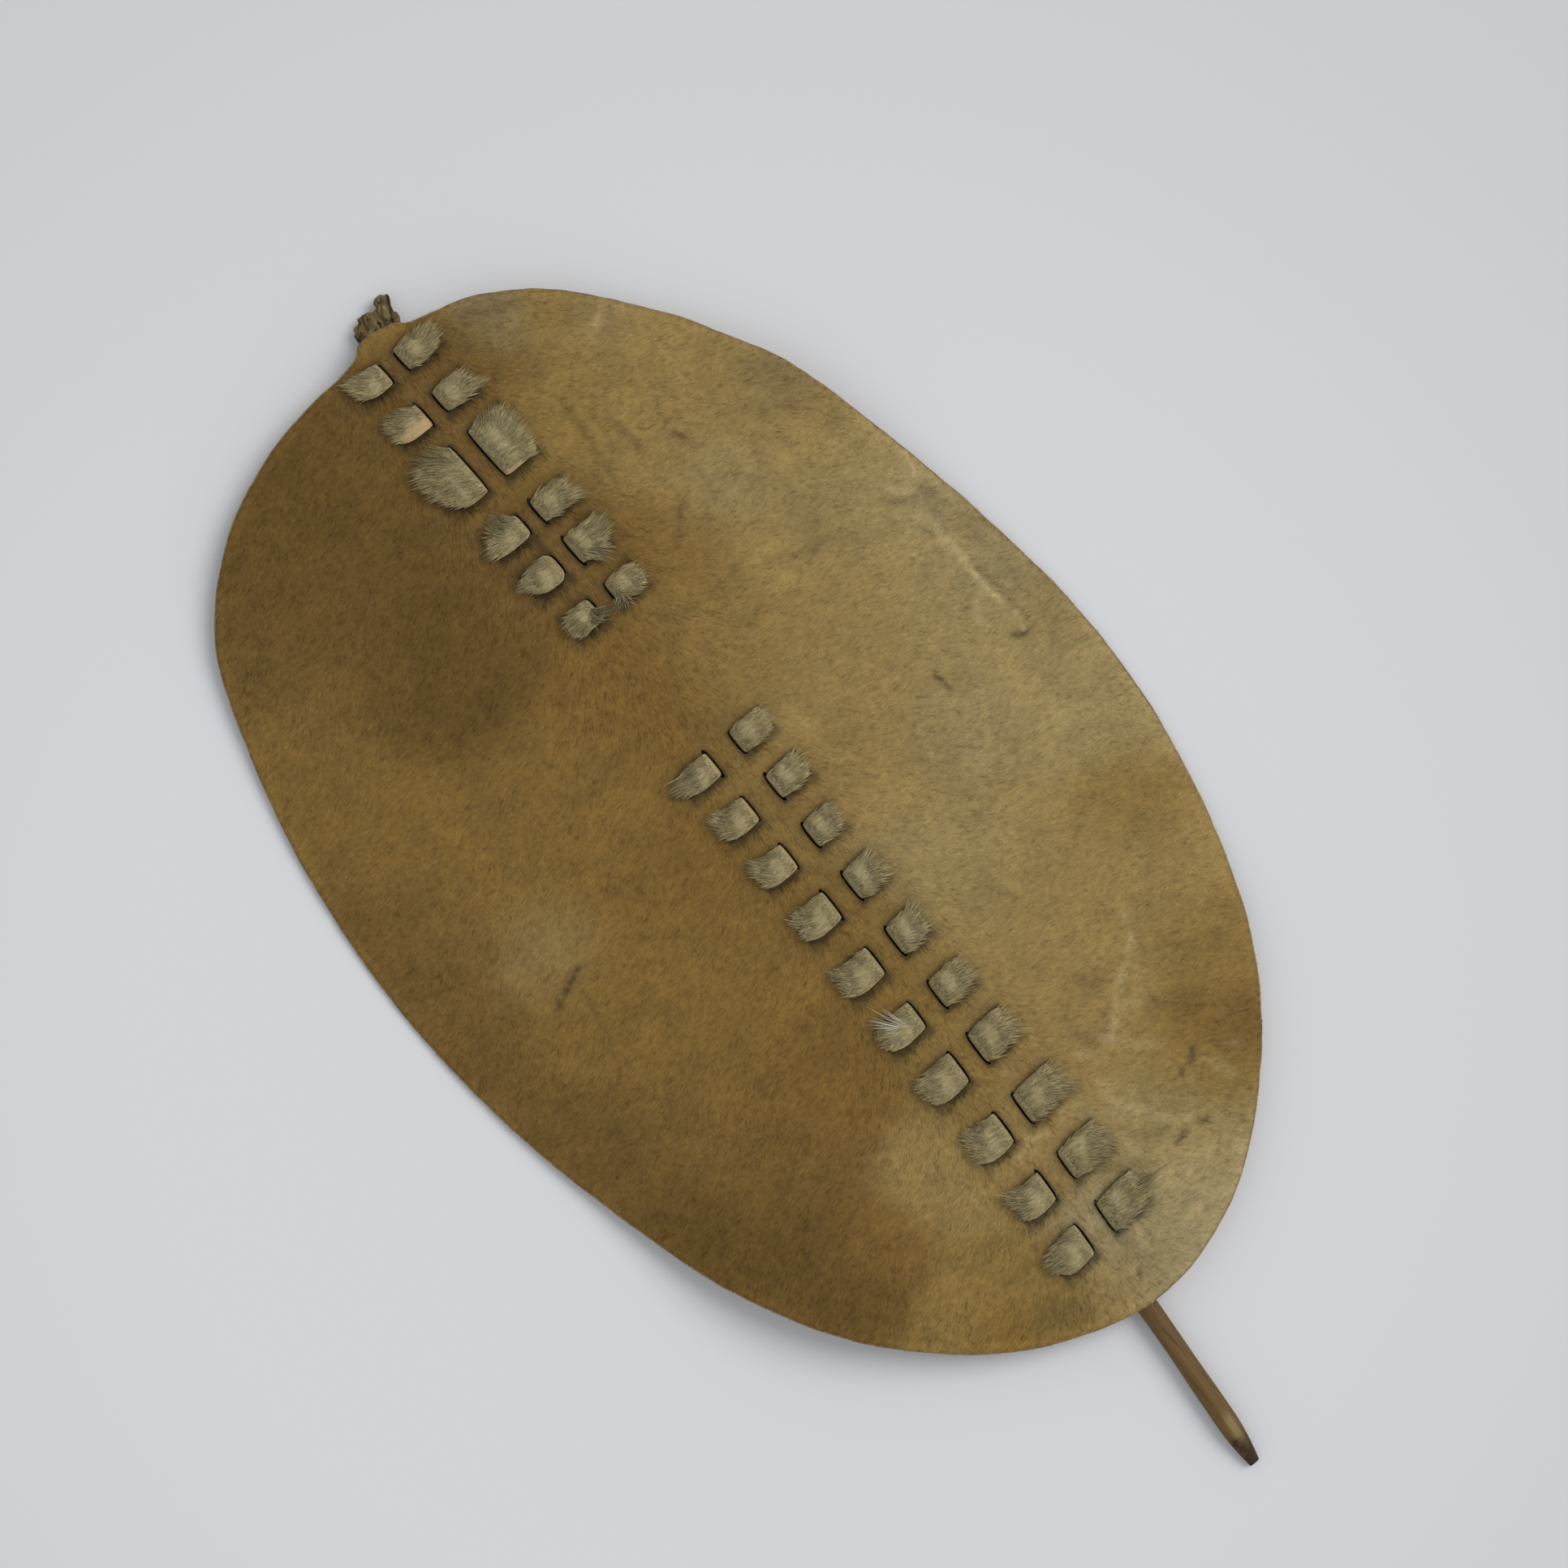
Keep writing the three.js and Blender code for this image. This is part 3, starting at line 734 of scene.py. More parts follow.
def build_branch():
    sides = 28
    shoulder = TOP_Y - TENON_LENGTH
    stops = [TOP_Y, shoulder + 0.9, shoulder, *np.linspace(shoulder - 2, FOOT_Y + TAPER_LENGTH, 210)]
    stops += list(FOOT_Y + TAPER_LENGTH * (1 - np.sin(np.linspace(0.03, 1, 22) * math.pi / 2)))
    turn = np.arange(sides) / sides * 2 * math.pi
    across, up = np.cos(turn), np.sin(turn)
    rings, handled = [], []
    for y in stops:
        share = min(1, (y - FOOT_Y) / TAPER_LENGTH)
        size = TENON_SIZE if y > shoulder else POINT_SIZE + (1 - POINT_SIZE) * math.sin(share * math.pi / 2)
        wide, high = branch_size(y, 0) / 2 * size, branch_size(y, 1) / 2 * size
        middle = branch_size(y, 1) / 2 * (1 if y > shoulder else size)
        # The knife leaves long flat facets, and the last few strokes round the tip.
        cut = np.round(turn / (math.pi / 4)) * math.pi / 4 + 0.2 * math.sin(y / 47)
        facet = 0.45 + 0.55 * (np.cos(math.pi / 9) / np.cos(np.clip(turn - cut, -0.4, 0.4)))
        lump = 1 + 0.035 * noise.noise(Vector((0, y / 31, 2)))
        lump = lump + 0.03 * patchy(across * 1.3, up * 1.3 + y / 23, 1, 21)
        reach = np.minimum(facet * lump, 1.0 / np.maximum(0.72, np.abs(up) ** 6))
        z = np.maximum(branch_under(y) + middle + high * up * reach, branch_under(y))
        rings.append(np.c_[branch_x(y) + wide * across * reach, np.full(sides, y), z])
        palm = np.exp(-(((y - HANDLED_Y) / 7.5) ** 4)) * np.exp(-(((across - 0.2) / 0.42) ** 4))
        handled.append(0.9 * palm * (up > 0))
    rings[-1][:, 2] += 0.15
    piece = loft("branch", rings, (peeled_wood_finish(),))
    mark(piece.data, "handled", np.r_[np.concatenate(handled), 0, 0])
    return piece


branch = build_branch()
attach(branch, "root")
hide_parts("stick")

# ---- The strips ----
# Each row is one short strip of goat hide with its hair left on. It shows as a square patch on each
# side of the branch, goes down through the outer slit, and its two ends lie on the panel's back.

# How far a strip's ends lie past the outer slits, and how closely it passes the branch.
STRIP_END = 9
GAP = 0.3


def strip_half_way(row, side):
    """Half of a strip's way, as distances from the branch's line and heights of its middle."""
    inner, outer = strip_span(row, side)
    half = STRIP_THICKNESS / 2
    under = branch_under(row[0]) - GAP - half
    wide, high = branch_size(row[0], 0) / 2, branch_size(row[0], 1)
    way = [(0, under), (wide * 0.42, under), (wide * 0.97, under + high * 0.14)]
    way.append((wide + GAP + half + 0.1, under + high * 0.46))

    def behind(off, up=0.0):
        way.append((off, hide_under(*row_place(row, side * off, 0)) - HIDE_GAP - half + up))

    def before(off, up, past=0.0):
        way.append((off + past, hide_top(*row_place(row, side * off, 0)) + HIDE_GAP + half + up))

    behind(inner)
    before(inner, -0.3, 0.1)
    before(inner + 2.2, 1.0)
    before((inner + outer) / 2, 1.7)
    before(outer - 2.2, 1.0)
    before(outer, -0.3, -0.1)
    behind(outer, -0.2)
    behind(outer + 2.8, -0.4)
    behind(outer + STRIP_END)
    return np.array(way)


def smooth_way(way, count):
    """Evenly spaced points on a rounded line through a way's points."""
    rounded = way
    for _ in range(2):
        near, far = rounded[:-1] * 0.78 + rounded[1:] * 0.22, rounded[:-1] * 0.22 + rounded[1:] * 0.78
        rounded = np.vstack([way[:1], np.stack([near, far], axis=1).reshape(-1, 2)[1:-1], way[-1:]])
    return even_steps(rounded, count)


def goat_skin_finish():
    finish = Finish("goat_skin_hair_side", 0.75, 0.25)
    streaks = finish.specks((300, 1500, 600))
    finish.lay((164, 132, 86))
    finish.lay((208, 182, 134), streaks)
    flesh = finish.colour
    finish.lay((132, 120, 86))
    finish.lay((184, 168, 122), streaks, 1, 0.3, 0.7)
    finish.lay(flesh, finish.named("bare"))
    return finish.done(streaks, 0.4)


def goat_flesh_finish():
    finish = Finish("goat_skin_flesh_side", 0.6)
    fibres = finish.specks((500, 900, 700), 5.0)
    finish.lay((172, 138, 92))
    finish.lay((206, 176, 128), finish.specks(120), 1, 0.35, 0.65)
    finish.lay((128, 94, 56), fibres, 0.5, 0.5, 0.75)
    return finish.done(fibres)


# How much a strip's middle stands up where it shows, and the places where its hair is worn off: the
# row, the side, the limits from the inner slit to the outer one (0 to 1), and those from the patch's
# lower edge to its upper one (-1 to 1).
CROWN = 1.7
BARE = (
    (2, -1, 0, 0.9, -1.1, -0.18), (3, 1, 0, 0.5, -1.1, -0.8), (8, -1, 0, 0.05, -1, 1),
    (9, -1, 0, 0.06, -1, 1), (7, -1, 0, 0.06, -1, 1), (8, 1, 0, 0.06, -1, 1),
)


def bare_share(number, side, share, edge):
    """How much of the hair is gone at a place on a strip."""
    gone = np.zeros(np.shape(share))
    for strip, flank, near, far, low, high in BARE:
        if (strip, flank) == (number, side):
            along, across = np.minimum(share - near, far - share), np.minimum(edge - low, high - edge)
            gone = np.maximum(gone, np.clip(np.minimum(along / 0.06, across / 0.1) + 0.5, 0, 1))
    return gone


def build_strip(number, row):
    halves = [smooth_way(strip_half_way(row, side), 56) * (side, 1) for side in (-1, 1)]
    way = np.vstack([halves[0][::-1], halves[1][1:]])
    onward = unit(np.gradient(way, axis=0))
    side = np.linspace(-1, 1, 8)
    edge = np.concatenate([side, side[::-1]])
    face = np.repeat((-1.0, 1.0), 8)
    thick = STRIP_THICKNESS / 2 * (1 - 0.45 * np.abs(edge) ** 6) * face
    slope_at = branch_under(row[0])
    rings, bare = [], []
    for (off, z), (run, rise) in zip(way, onward):
        flank = -1 if off < 0 else 1
        near, far = strip_span(row, flank)
        share = (abs(off) - near) / (far - near)
        shown = np.clip(share, 0, 1)
        above = z > hide_top(*row_place(row, off, 0))
        crown = CROWN * math.sin(math.pi * shown) if above else 0
        wide = row[1] / 2 * (1 + 0.03 * noise.noise(Vector((off / 4, row[0], 31))))
        if abs(off) > far + 2:
            wide *= 1 - 0.16 * ((abs(off) - far - 2) / STRIP_END) ** 2
        # It is drawn in at its slits, and whole again under the branch.
        taper = strip_taper(number, flank, shown, edge)
        along = edge * wide * (1 - (1 - taper) * min(1, abs(off) / near) ** 2)
        lift = crown * np.where(face > 0, 1, 0.7) * (1 - edge**2)
        x, y = row_place(row, off - rise * thick, along)
        rings.append(np.c_[x, y, z + run * thick + lift + branch_under(row[0] + along) - slope_at])
        bare.append(bare_share(number, flank, np.full(16, share), edge) * (face > 0) * above)
    piece = loft(f"goat_strip_{number:02d}", rings, (goat_skin, goat_flesh), [1] * 8 + [0] * 7 + [1])
    mark(piece.data, "bare", np.r_[np.ravel(bare), 0, 0])
    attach(piece, "root")
    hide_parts(f"strip_row_{number:02d}")


goat_skin, goat_flesh = goat_skin_finish(), goat_flesh_finish()
for number, strip_row in enumerate(ROWS, 1):
    build_strip(number, strip_row)

# ---- The goat hair ----
# The strips keep the goat's grey-beige hair, which is about 5 mm long, and twice that in its tufts. It
# lies outward from the branch, is darker towards some tips, and sticks out past the outer slits.


def hair_tree(name, segments):
    """Geometry Nodes that grow hairs on a bed's faces. The bed's points say, by name, which way the
    hairs lie, how long, dense and dark they are, and their colour."""
    tree = bpy.data.node_groups.new(name, "GeometryNodeTree")
    tree.interface.new_socket("Geometry", in_out="OUTPUT", socket_type="NodeSocketGeometry")
    kinds = {"Geometry": "Geometry", "Hairs per square metre": "Float", "Spread": "Float", "Droop": "Float"}
    kinds.update({"Roll": "Float", "Radius": "Float", "Seed": "Int", "Finish": "Material"})
    for label, kind in kinds.items():
        tree.interface.new_socket(label, in_out="INPUT", socket_type="NodeSocket" + kind)
    nodes = Nodes(tree)
    out, maths, scaled = nodes.out, nodes.maths, nodes.scaled
    given = nodes.add("NodeGroupInput").outputs

    def field(label, kind="FLOAT"):
        return out("GeometryNodeInputNamedAttribute", {"Name": label}, "Attribute", data_type=kind)

    def product(first, second):
        return maths("MULTIPLY", first, second)

    def chance(low, high, draw):
        seed = maths("ADD", given["Seed"], float(draw))
        return out("FunctionNodeRandomValue", {2: low, 3: high, "Seed": seed}, 1, data_type="FLOAT")

    def keep(geometry, label, value):
        """Stores a value on a geometry's points by name."""
        inputs = {"Geometry": geometry, "Name": label, "Value": value}
        return out("GeometryNodeStoreNamedAttribute", inputs, data_type="FLOAT", domain="POINT")

    density = product(given["Hairs per square metre"], field("cover"))
    inputs = {"Mesh": given["Geometry"], "Density": density, "Seed": given["Seed"]}
    roots = out("GeometryNodeDistributePointsOnFaces", inputs)
    inputs = {0: (-1, -1, -0.4), 1: (1, 1, 0.4), "Seed": maths("ADD", given["Seed"], 1.0)}
    jitter = out("FunctionNodeRandomValue", inputs, data_type="FLOAT_VECTOR")
    lie = {0: field("lay", "FLOAT_VECTOR"), 1: scaled(jitter, given["Spread"])}
    lie = out("ShaderNodeVectorMath", lie, operation="ADD")
    # A hair points the way it lies, with one flat of its three upwards, give or take its roll.
    align = "FunctionNodeAlignRotationToVector"
    upright = {"Rotation": out(align, {"Vector": lie}, axis="Z"), "Vector": (0, 0, -1)}
    roll = {"Axis": (0, 0, 1), "Angle": product(chance(-1.0, 1.0, 2), given["Roll"])}
    turned = {0: out(align, upright, axis="X", pivot_axis="Z")}
    turned[1] = out("FunctionNodeAxisAngleToRotation", roll)
    turned = out("FunctionNodeRotateRotation", turned, rotation_space="LOCAL")
    # Some of the hairs are guard hairs: longer than the rest, and dark.
    guard = maths("LESS_THAN", chance(0.0, 1.0, 6), field("guard"))
    reach = product(product(field("long"), chance(0.6, 1.25, 4)), maths("ADD", product(guard, 0.75), 1.0))
    size = {"X": product(given["Radius"], chance(0.7, 1.3, 3)), "Z": reach}
    size["Y"] = size["X"]

    inputs = {"Vertices": 3, "Side Segments": segments}
    inputs.update({"Radius Top": 0.0, "Radius Bottom": 1.0, "Depth": 1.0})
    hair = out("GeometryNodeMeshCone", inputs, fill_type="NGON")
    height = out("ShaderNodeSeparateXYZ", {0: out("GeometryNodeInputPosition")}, 2)
    roots = keep(roots, "tone", chance(0.0, 1.0, 5))
    roots = keep(roots, "reach", reach)
    roots = keep(roots, "dark", maths("MAXIMUM", field("dark"), product(guard, 0.85)))
    planted = {"Points": roots, "Instance": keep(hair, "tip", height), "Rotation": turned}
    planted["Scale"] = out("ShaderNodeCombineXYZ", size)
    grown = out("GeometryNodeRealizeInstances", {0: out("GeometryNodeInstanceOnPoints", planted)})
    bend = product(product(field("tip"), field("tip")), field("reach"))
    sag = scaled((0, 0, -1), product(bend, given["Droop"]))
    bent = out("GeometryNodeSetPosition", {"Geometry": grown, "Offset": sag})
    done = out("GeometryNodeSetMaterial", {"Geometry": bent, "Material": given["Finish"]})
    nodes.add("NodeGroupOutput", {0: done})
    return tree


def read_points(mesh, what="co"):
    """The places of a mesh's points, or their normals."""
    values = np.empty(len(mesh.vertices) * 3, np.float32)
    mesh.vertices.foreach_get(what, values)
    return values.reshape(-1, 3)


def grow(name, points, faces, marks, tree, values, smooth=True):
    """Grows hairs on a bed of faces whose points are marked, as a plain mesh, and takes the bed away."""
    bed = build_mesh(name + "_bed", points, faces)
    for key, marked in marks.items():
        mark(bed.data, key, marked)
    modifier = bed.modifiers.new("hairs", "NODES")
    modifier.node_group = tree
    for item in tree.interface.items_tree:
        if item.in_out == "INPUT" and item.name in values:
            modifier[item.identifier] = values[item.name]
    graph = bpy.context.evaluated_depsgraph_get()
    grown = bed.evaluated_get(graph)
    mesh = bpy.data.meshes.new_from_object(grown, preserve_all_data_layers=True, depsgraph=graph)
    bed.modifiers.remove(modifier)
    bpy.data.objects.remove(bed)
    mesh.name = name
    mesh.polygons.foreach_set("use_smooth", np.full(len(mesh.polygons), smooth))
    piece = add_to_scene(name, mesh)
    map_from_above(mesh)
    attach(piece, "root")
    return piece


def map_from_above(mesh):
    """Lays a mesh out flat, as it is seen from above, so that its colours can be baked."""
    corners = np.empty(len(mesh.loops), np.int32)
    mesh.loops.foreach_get("vertex_index", corners)
    flat = read_points(mesh)[corners, :2]
    flat = (flat - flat.min(axis=0)) / (flat.max(axis=0) - flat.min(axis=0)).max()
    mesh.uv_layers.new(name="OFBake").data.foreach_set("uv", flat.ravel())


def hair_finish(name, roughness, specular, depth, tip_paint, tip_start):
    """The hair's own colour, with darker roots, a tone for each hair and small locks of other tones
    (the depth of all three), and towards its tip as dark as its point says."""
    finish = Finish(name, roughness, specular)
    along = finish.named("tip")
    root, vary, locks = depth
    tone = finish.ramped(finish.named("tone"), 1 - vary, 1 + vary)
    lock = finish.ramped(finish.specks(260, 5.0, 0.65), 1 - locks, 1 + locks, 0.3, 0.7)
    amount = finish.maths("MULTIPLY", finish.ramped(along, root, 1.06), tone)
    finish.lay(finish.scaled(finish.named("coat", "Color"), finish.maths("MULTIPLY", amount, lock)))
    tip = finish.ramped(along, 0, 1, tip_start, 0.95)
    finish.lay(tip_paint, finish.maths("MULTIPLY", tip, finish.named("dark")))
    return finish.done()


# The hairs' radius, their tones and how much lighter they are painted, and a bed's points each way.
GOAT_HAIR_RADIUS = 0.3
GOAT_GREY, GOAT_FAWN, GOAT_WHITE = (152, 141, 105), (166, 149, 104), (208, 201, 182)
GOAT_LIGHT = 1.07
BED_SHAPE = (16, 14)

# Where single tufts differ: the row, the side, the place on the patch, counted as above, how far that
# reaches, the way it lies, how much longer and lighter it is than the rest, and how dark its tips are.
TUFTS = (
    (1, -1, 0.75, 0.5, 0.6, (-0.8, 0.9), 1.7, 1.12, 0.15),
    (1, 1, 0.95, 0.1, 0.5, (1, 0.2), 1.7, 0.95, 0.34), (1, 1, 0.5, 1, 0.35, (1, 0.5), 1, 0.9, 0.3),
    (2, -1, 0.6, 0.9, 0.6, (-0.5, 0.9), 1.5, 1.06, 0.11),
    (2, 1, 0.9, -0.7, 0.35, (1, -0.3), 2.9, 0.91, 0.38),
    (3, -1, 0.8, 0.2, 0.8, (-0.9, 0.4), 1.9, 1.06, 0.08),
    (3, -1, 0.3, 0.95, 0.4, (-0.25, 1), 1.7, 1.06, 0.15), (3, 1, 0.95, 0.1, 0.5, (1, 0.2), 1.4, 0.95, 0.3),
    (3, 1, 0.5, 1, 0.35, (0.3, 1), 0.9, 0.95, 0.23), (4, -1, 0.95, -0.2, 0.4, (-1, -0.1), 1.8, 1.09, 0.11),
    (4, -1, 0.4, 0.9, 0.5, (0.1, 1), 1.8, 0.93, 0.34), (4, 1, 0.95, -0.6, 0.5, (1, -0.45), 2.1, 0.98, 0.23),
    (5, -1, 1, 0.3, 0.4, (-1, 0.1), 1.9, 0.93, 0.3), (5, 1, 0.95, 0.2, 0.5, (1, 0.15), 2.4, 0.93, 0.34),
    (5, 1, 0.4, -0.9, 0.3, (0.15, -1), 2.3, 1.06, 0.15),
    (6, -1, 0.05, -0.5, 0.4, (1, -0.25), 2.4, 0.62, 0.85),
    (6, -1, 0.8, -0.6, 0.5, (-1, -0.5), 0.9, 1.09, 0.08), (6, 1, 0, -0.6, 0.3, (-1, -0.1), 1.6, 0.62, 0.85),
    (6, 1, 0.7, -0.9, 0.4, (0.8, -0.6), 0.9, 0.93, 0.27),
    (7, -1, 0.85, 0.1, 0.7, (-1, 0.05), 2.1, 0.93, 0.3),
    (8, -1, 0.85, 0.8, 0.45, (-0.3, 1), 1.8, 1.06, 0.23),
    (9, -1, 0.9, 0.7, 0.45, (-0.4, 1), 1.7, 1.06, 0.23),
    (10, -1, 0.9, 0.9, 0.4, (-0.5, 1), 1.3, 1.03, 0.15),
    (10, 1, 0.95, -0.5, 0.45, (0.8, -0.5), 1.6, 0.93, 0.34),
    (10, 1, 0.9, 0.9, 0.35, (1, 0.5), 1.4, 0.93, 0.3), (11, -1, 1, 0.8, 0.4, (-0.5, 1), 1.7, 0.98, 0.23),
    (11, 1, 1, 0.9, 0.4, (1, 0.6), 1.5, 0.93, 0.3), (12, -1, 0.48, 0.15, 0.17, (-0.65, 0.8), 3.6, 3.2, 0),
    (12, -1, 0.38, 0.1, 0.11, (0.55, 0.8), 1.8, 2.4, 0), (12, 1, 1, -0.1, 0.5, (1, -0.25), 1.7, 0.93, 0.34),
    (13, -1, 1, 0.6, 0.4, (-0.9, 0.5), 1.5, 0.95, 0.27),
    (13, 1, 1, -0.7, 0.4, (0.8, -0.7), 1.7, 0.91, 0.34),
    (14, -1, 0.85, 0.9, 0.4, (-0.2, 1), 1.9, 1.12, 0.11),
    (14, 1, 0.95, -0.4, 0.5, (0.8, -0.7), 1.8, 0.91, 0.38),
    (15, -1, 0.95, 0.9, 0.45, (-0.5, 0.9), 2.2, 0.9, 0.34),
    (15, 1, 1, -0.2, 0.55, (0.7, -0.9), 2.1, 0.9, 0.38), (16, -1, 1, 0.1, 0.5, (-1, 0.15), 2.1, 0.91, 0.34),
    (16, 1, 1, 0, 0.34, (1, -0.1), 3.2, 0.6, 0.95),
)


def build_fur(side, name, seed):
    """One column's hair, on beds that follow the strips' patches."""
    points, faces = np.zeros((0, 3)), []
    patches = []
    for number, row in enumerate(ROWS, 1):
        inner, outer = strip_span(row, side)
        share, edge = (np.linspace(low, 1, count) for low, count in zip((0, -1), BED_SHAPE))
        share, edge = np.meshgrid(share, edge, indexing="ij")
        share, edge = share.ravel(), edge.ravel()
        off = side * (inner + (outer - inner) * share)
        along = edge * row[1] / 2 * strip_taper(number, side, share, edge)
        x, y = row_place(row, off, along)
        z = hide_top(*row_place(row, off, 0 * along)) + HIDE_GAP + STRIP_THICKNESS
        z = z + branch_under(row[0] + along) - branch_under(row[0])
        z = z + CROWN * np.sin(math.pi * share) * (1 - edge**2)
        z = z + 1.2 * np.sin(np.minimum(1, np.minimum(share, 1 - share) / 0.2) * math.pi / 2) - 0.1
        grid = np.arange(share.size).reshape(BED_SHAPE) + len(points)
        quads = np.stack([grid[:-1, :-1], grid[1:, :-1], grid[1:, 1:], grid[:-1, 1:]], axis=-1)
        faces += quads.reshape(-1, 4)[:, ::side].tolist()
        points = np.vstack([points, np.c_[x, y, z]])

        wave = patchy(x, y, 6, 41 + side)
        turn = np.radians(12 if side < 0 else -6) + 0.4 * wave + (0.25 * edge if side > 0 else -0.1 * edge)
        lie = np.c_[side * np.cos(turn), np.sin(turn)]
        long = (6.6 - 2.4 * share) * (1 + 0.2 * wave)
        shade = 0.9 + 0.12 * patchy(x, y, 7, 44) + 0.14 * patchy(x * 0.5, y, 2.6, 48)
        shade += 0.55 * np.clip((share - 0.45) / 0.35, 0, 1)
        # The inner end and the lower edge are painted lighter: a painted highlight where the patch's rounded
        # edges catch the light, and on the inner end partly lighter hair.
        shade += (0.34 if side > 0 else 0.08) * bell(share, 0.3)
        shade += 0.06 * bell(share, 0.1) + 0.14 * bell(edge + 1, 0.25)
        dark = (0.0 if side < 0 else 0.06) * np.clip(share * 2 - 1, 0, 1)
        dark = dark + 0.15 * np.clip((np.abs(edge) - 0.8) / 0.2, 0, 1) * share
        for strip, flank, at, at_edge, reach, way, longer, lighter, darker in TUFTS:
            if (strip, flank) == (number, side):
                near = np.exp(-(((share - at) / reach) ** 2) * 2 - ((edge - at_edge) / reach / 2) ** 2 * 2)
                lie += 3 * near[:, None] * way
                long *= 1 + near * (longer - 1)
                shade *= 1 + near * (lighter - 1)
                dark = dark + near * (darker - dark)
        lie = rotated(*unit(lie).T, row_turn(row))
        # A few tufts are nearly white.
        warm = np.clip(0.5 + 0.5 * patchy(x, y, 12, 46), 0, 1)[:, None]
        grey, fawn, white = (np.array(paint(*tone)) for tone in (GOAT_GREY, GOAT_FAWN, GOAT_WHITE))
        bleached = np.clip(shade - 1.7, 0, 1)[:, None]
        colour = (grey * (1 - warm) + fawn * warm) * np.minimum(shade, 1.7)[:, None]
        colour = colour * (1 - bleached) + white * bleached
        # The patch's corners are rounded, most of all the lower outer one.
        corner = np.where(edge < 0, 0.5, 0.35)
        past = np.hypot(np.maximum(0, share - 1 + corner), np.maximum(0, np.abs(edge) - 1 + corner)) / corner
        cover = np.clip(share / 0.06, 0.15, 1) * np.clip((1.04 - past) / 0.1, 0.03, 1)
        patches.append({
            "lay": np.c_[lie[0], lie[1], 0.26 + 0.35 * bell(share, 0.15) - 0.1 * share],
            "long": long * MM,
            "cover": cover * (1 - bare_share(number, side, share, edge)),
            "coat": colour * GOAT_LIGHT,
            "dark": dark,
            "guard": 0.015 + (0.04 if side < 0 else 0.07) * np.clip(share * 3 - 1.8, 0, 1),
        })
    marks = {key: np.concatenate([patch[key] for patch in patches]) for key in patches[0]}
    settings = {"Hairs per square metre": 2.1e6, "Spread": 0.16, "Droop": 0.22, "Roll": 0.8}
    settings.update({"Radius": GOAT_HAIR_RADIUS * MM, "Seed": seed, "Finish": goat_hair})
    fur = grow(name, points, faces, marks, long_hair_tree, settings)


goat_hair = hair_finish("goat_hair", 0.6, 0.25, (0.74, 0.24, 0.24), (50, 40, 27), 0.42)
long_hair_tree = hair_tree("long_hairs", 3)
build_fur(-1, "goat_hair_left", 11)
build_fur(1, "goat_hair_right", 12)

# ---- The thong's knot ----
# A rawhide thong is wound on the branch's whittled top end, under the panel's tab. It was knotted wet,
# and has dried into stiff folds, whose cut ends fan out past the panel and rest on the table.

# Each fold: its root and its tip as x, y and z, its width and thickness at both ends, how many pleats
# it has, and how far it turns about its own line.
FOLDS = (
    ((6.0, 341.5, 5.5), (5.2, 353.2, 4.0), (6.0, 5.5), (3.6, 6.5), 2, 0.5),
    ((8.6, 341.0, 6.0), (8.4, 356.0, 5.4), (5.5, 6.0), (4.0, 7.5), 2, 1.4),
    ((12.0, 340.5, 6.2), (14.0, 358.2, 5.2), (8.0, 6.0), (9.6, 7.6), 4, -0.4),
    ((16.5, 341.0, 5.6), (20.6, 356.2, 4.6), (7.0, 5.5), (6.6, 6.0), 2, 0.6),
    ((18.5, 340.5, 5.6), (26.6, 360.0, 5.0), (8.0, 6.0), (9.4, 7.6), 3, -0.6),
    ((20.0, 339.5, 6.0), (26.2, 350.0, 3.8), (7.0, 5.5), (5.0, 6.0), 2, 0.3),
)
WRAPS = 4
WRAP_Y = (341.2, 349.6)


def dried_thong_finish():
    finish = Finish("dried_thong", 0.65, 0.2)
    cloud = finish.specks(190, 5.0)
    streaks = finish.specks((700, 110, 500), 5.0, 0.6, -0.35)
    finish.lay((82, 62, 36))
    finish.lay((133, 114, 72), cloud, 1, 0.35, 0.65)
    finish.lay((156, 138, 96), streaks, 0.85, 0.52, 0.72)
    # Painted shade in the creases and the seam, and the darker left lobe.
    finish.lay((40, 26, 15), finish.named("crease_shade_and_dark_lobe"))
    return finish.done(finish.maths("ADD", cloud, streaks), 0.5)


def fold_rings(root, tip, size, end_size, pleats, twist):
    """The rings of one fold, which gets its pleats towards its open end."""
    root, tip = np.array(root), np.array(tip)
    onward = unit(tip - root)
    across = unit(np.cross(onward, (0, 0, 1)))
    upward = np.cross(across, onward)
    turn = np.linspace(0, 2 * math.pi, 40, endpoint=False)
    rings = []
    for share in np.linspace(0, 1, 26):
        wide = size[0] + (end_size[0] - size[0]) * share
        thick = size[1] + (end_size[1] - size[1]) * share
        pleat = 1 - (0.1 + 0.22 * share) * (0.5 + 0.5 * np.cos(turn * pleats * 2 + twist * 4 + share * 1.5))
        rounding = math.sqrt(max(0.06, 1 - max(0, (share - 0.86) / 0.14) ** 2.5 * 0.94))
        a = wide / 2 * np.cos(turn) * pleat * rounding
        b = thick / 2 * np.sin(turn) * pleat * rounding
        a, b = rotated(a, b, twist * share * 0.7)
        middle = root + (tip - root) * share + upward * 0.9 * math.sin(math.pi * share)
        rings.append(middle + a[:, None] * across + b[:, None] * upward)
    return rings


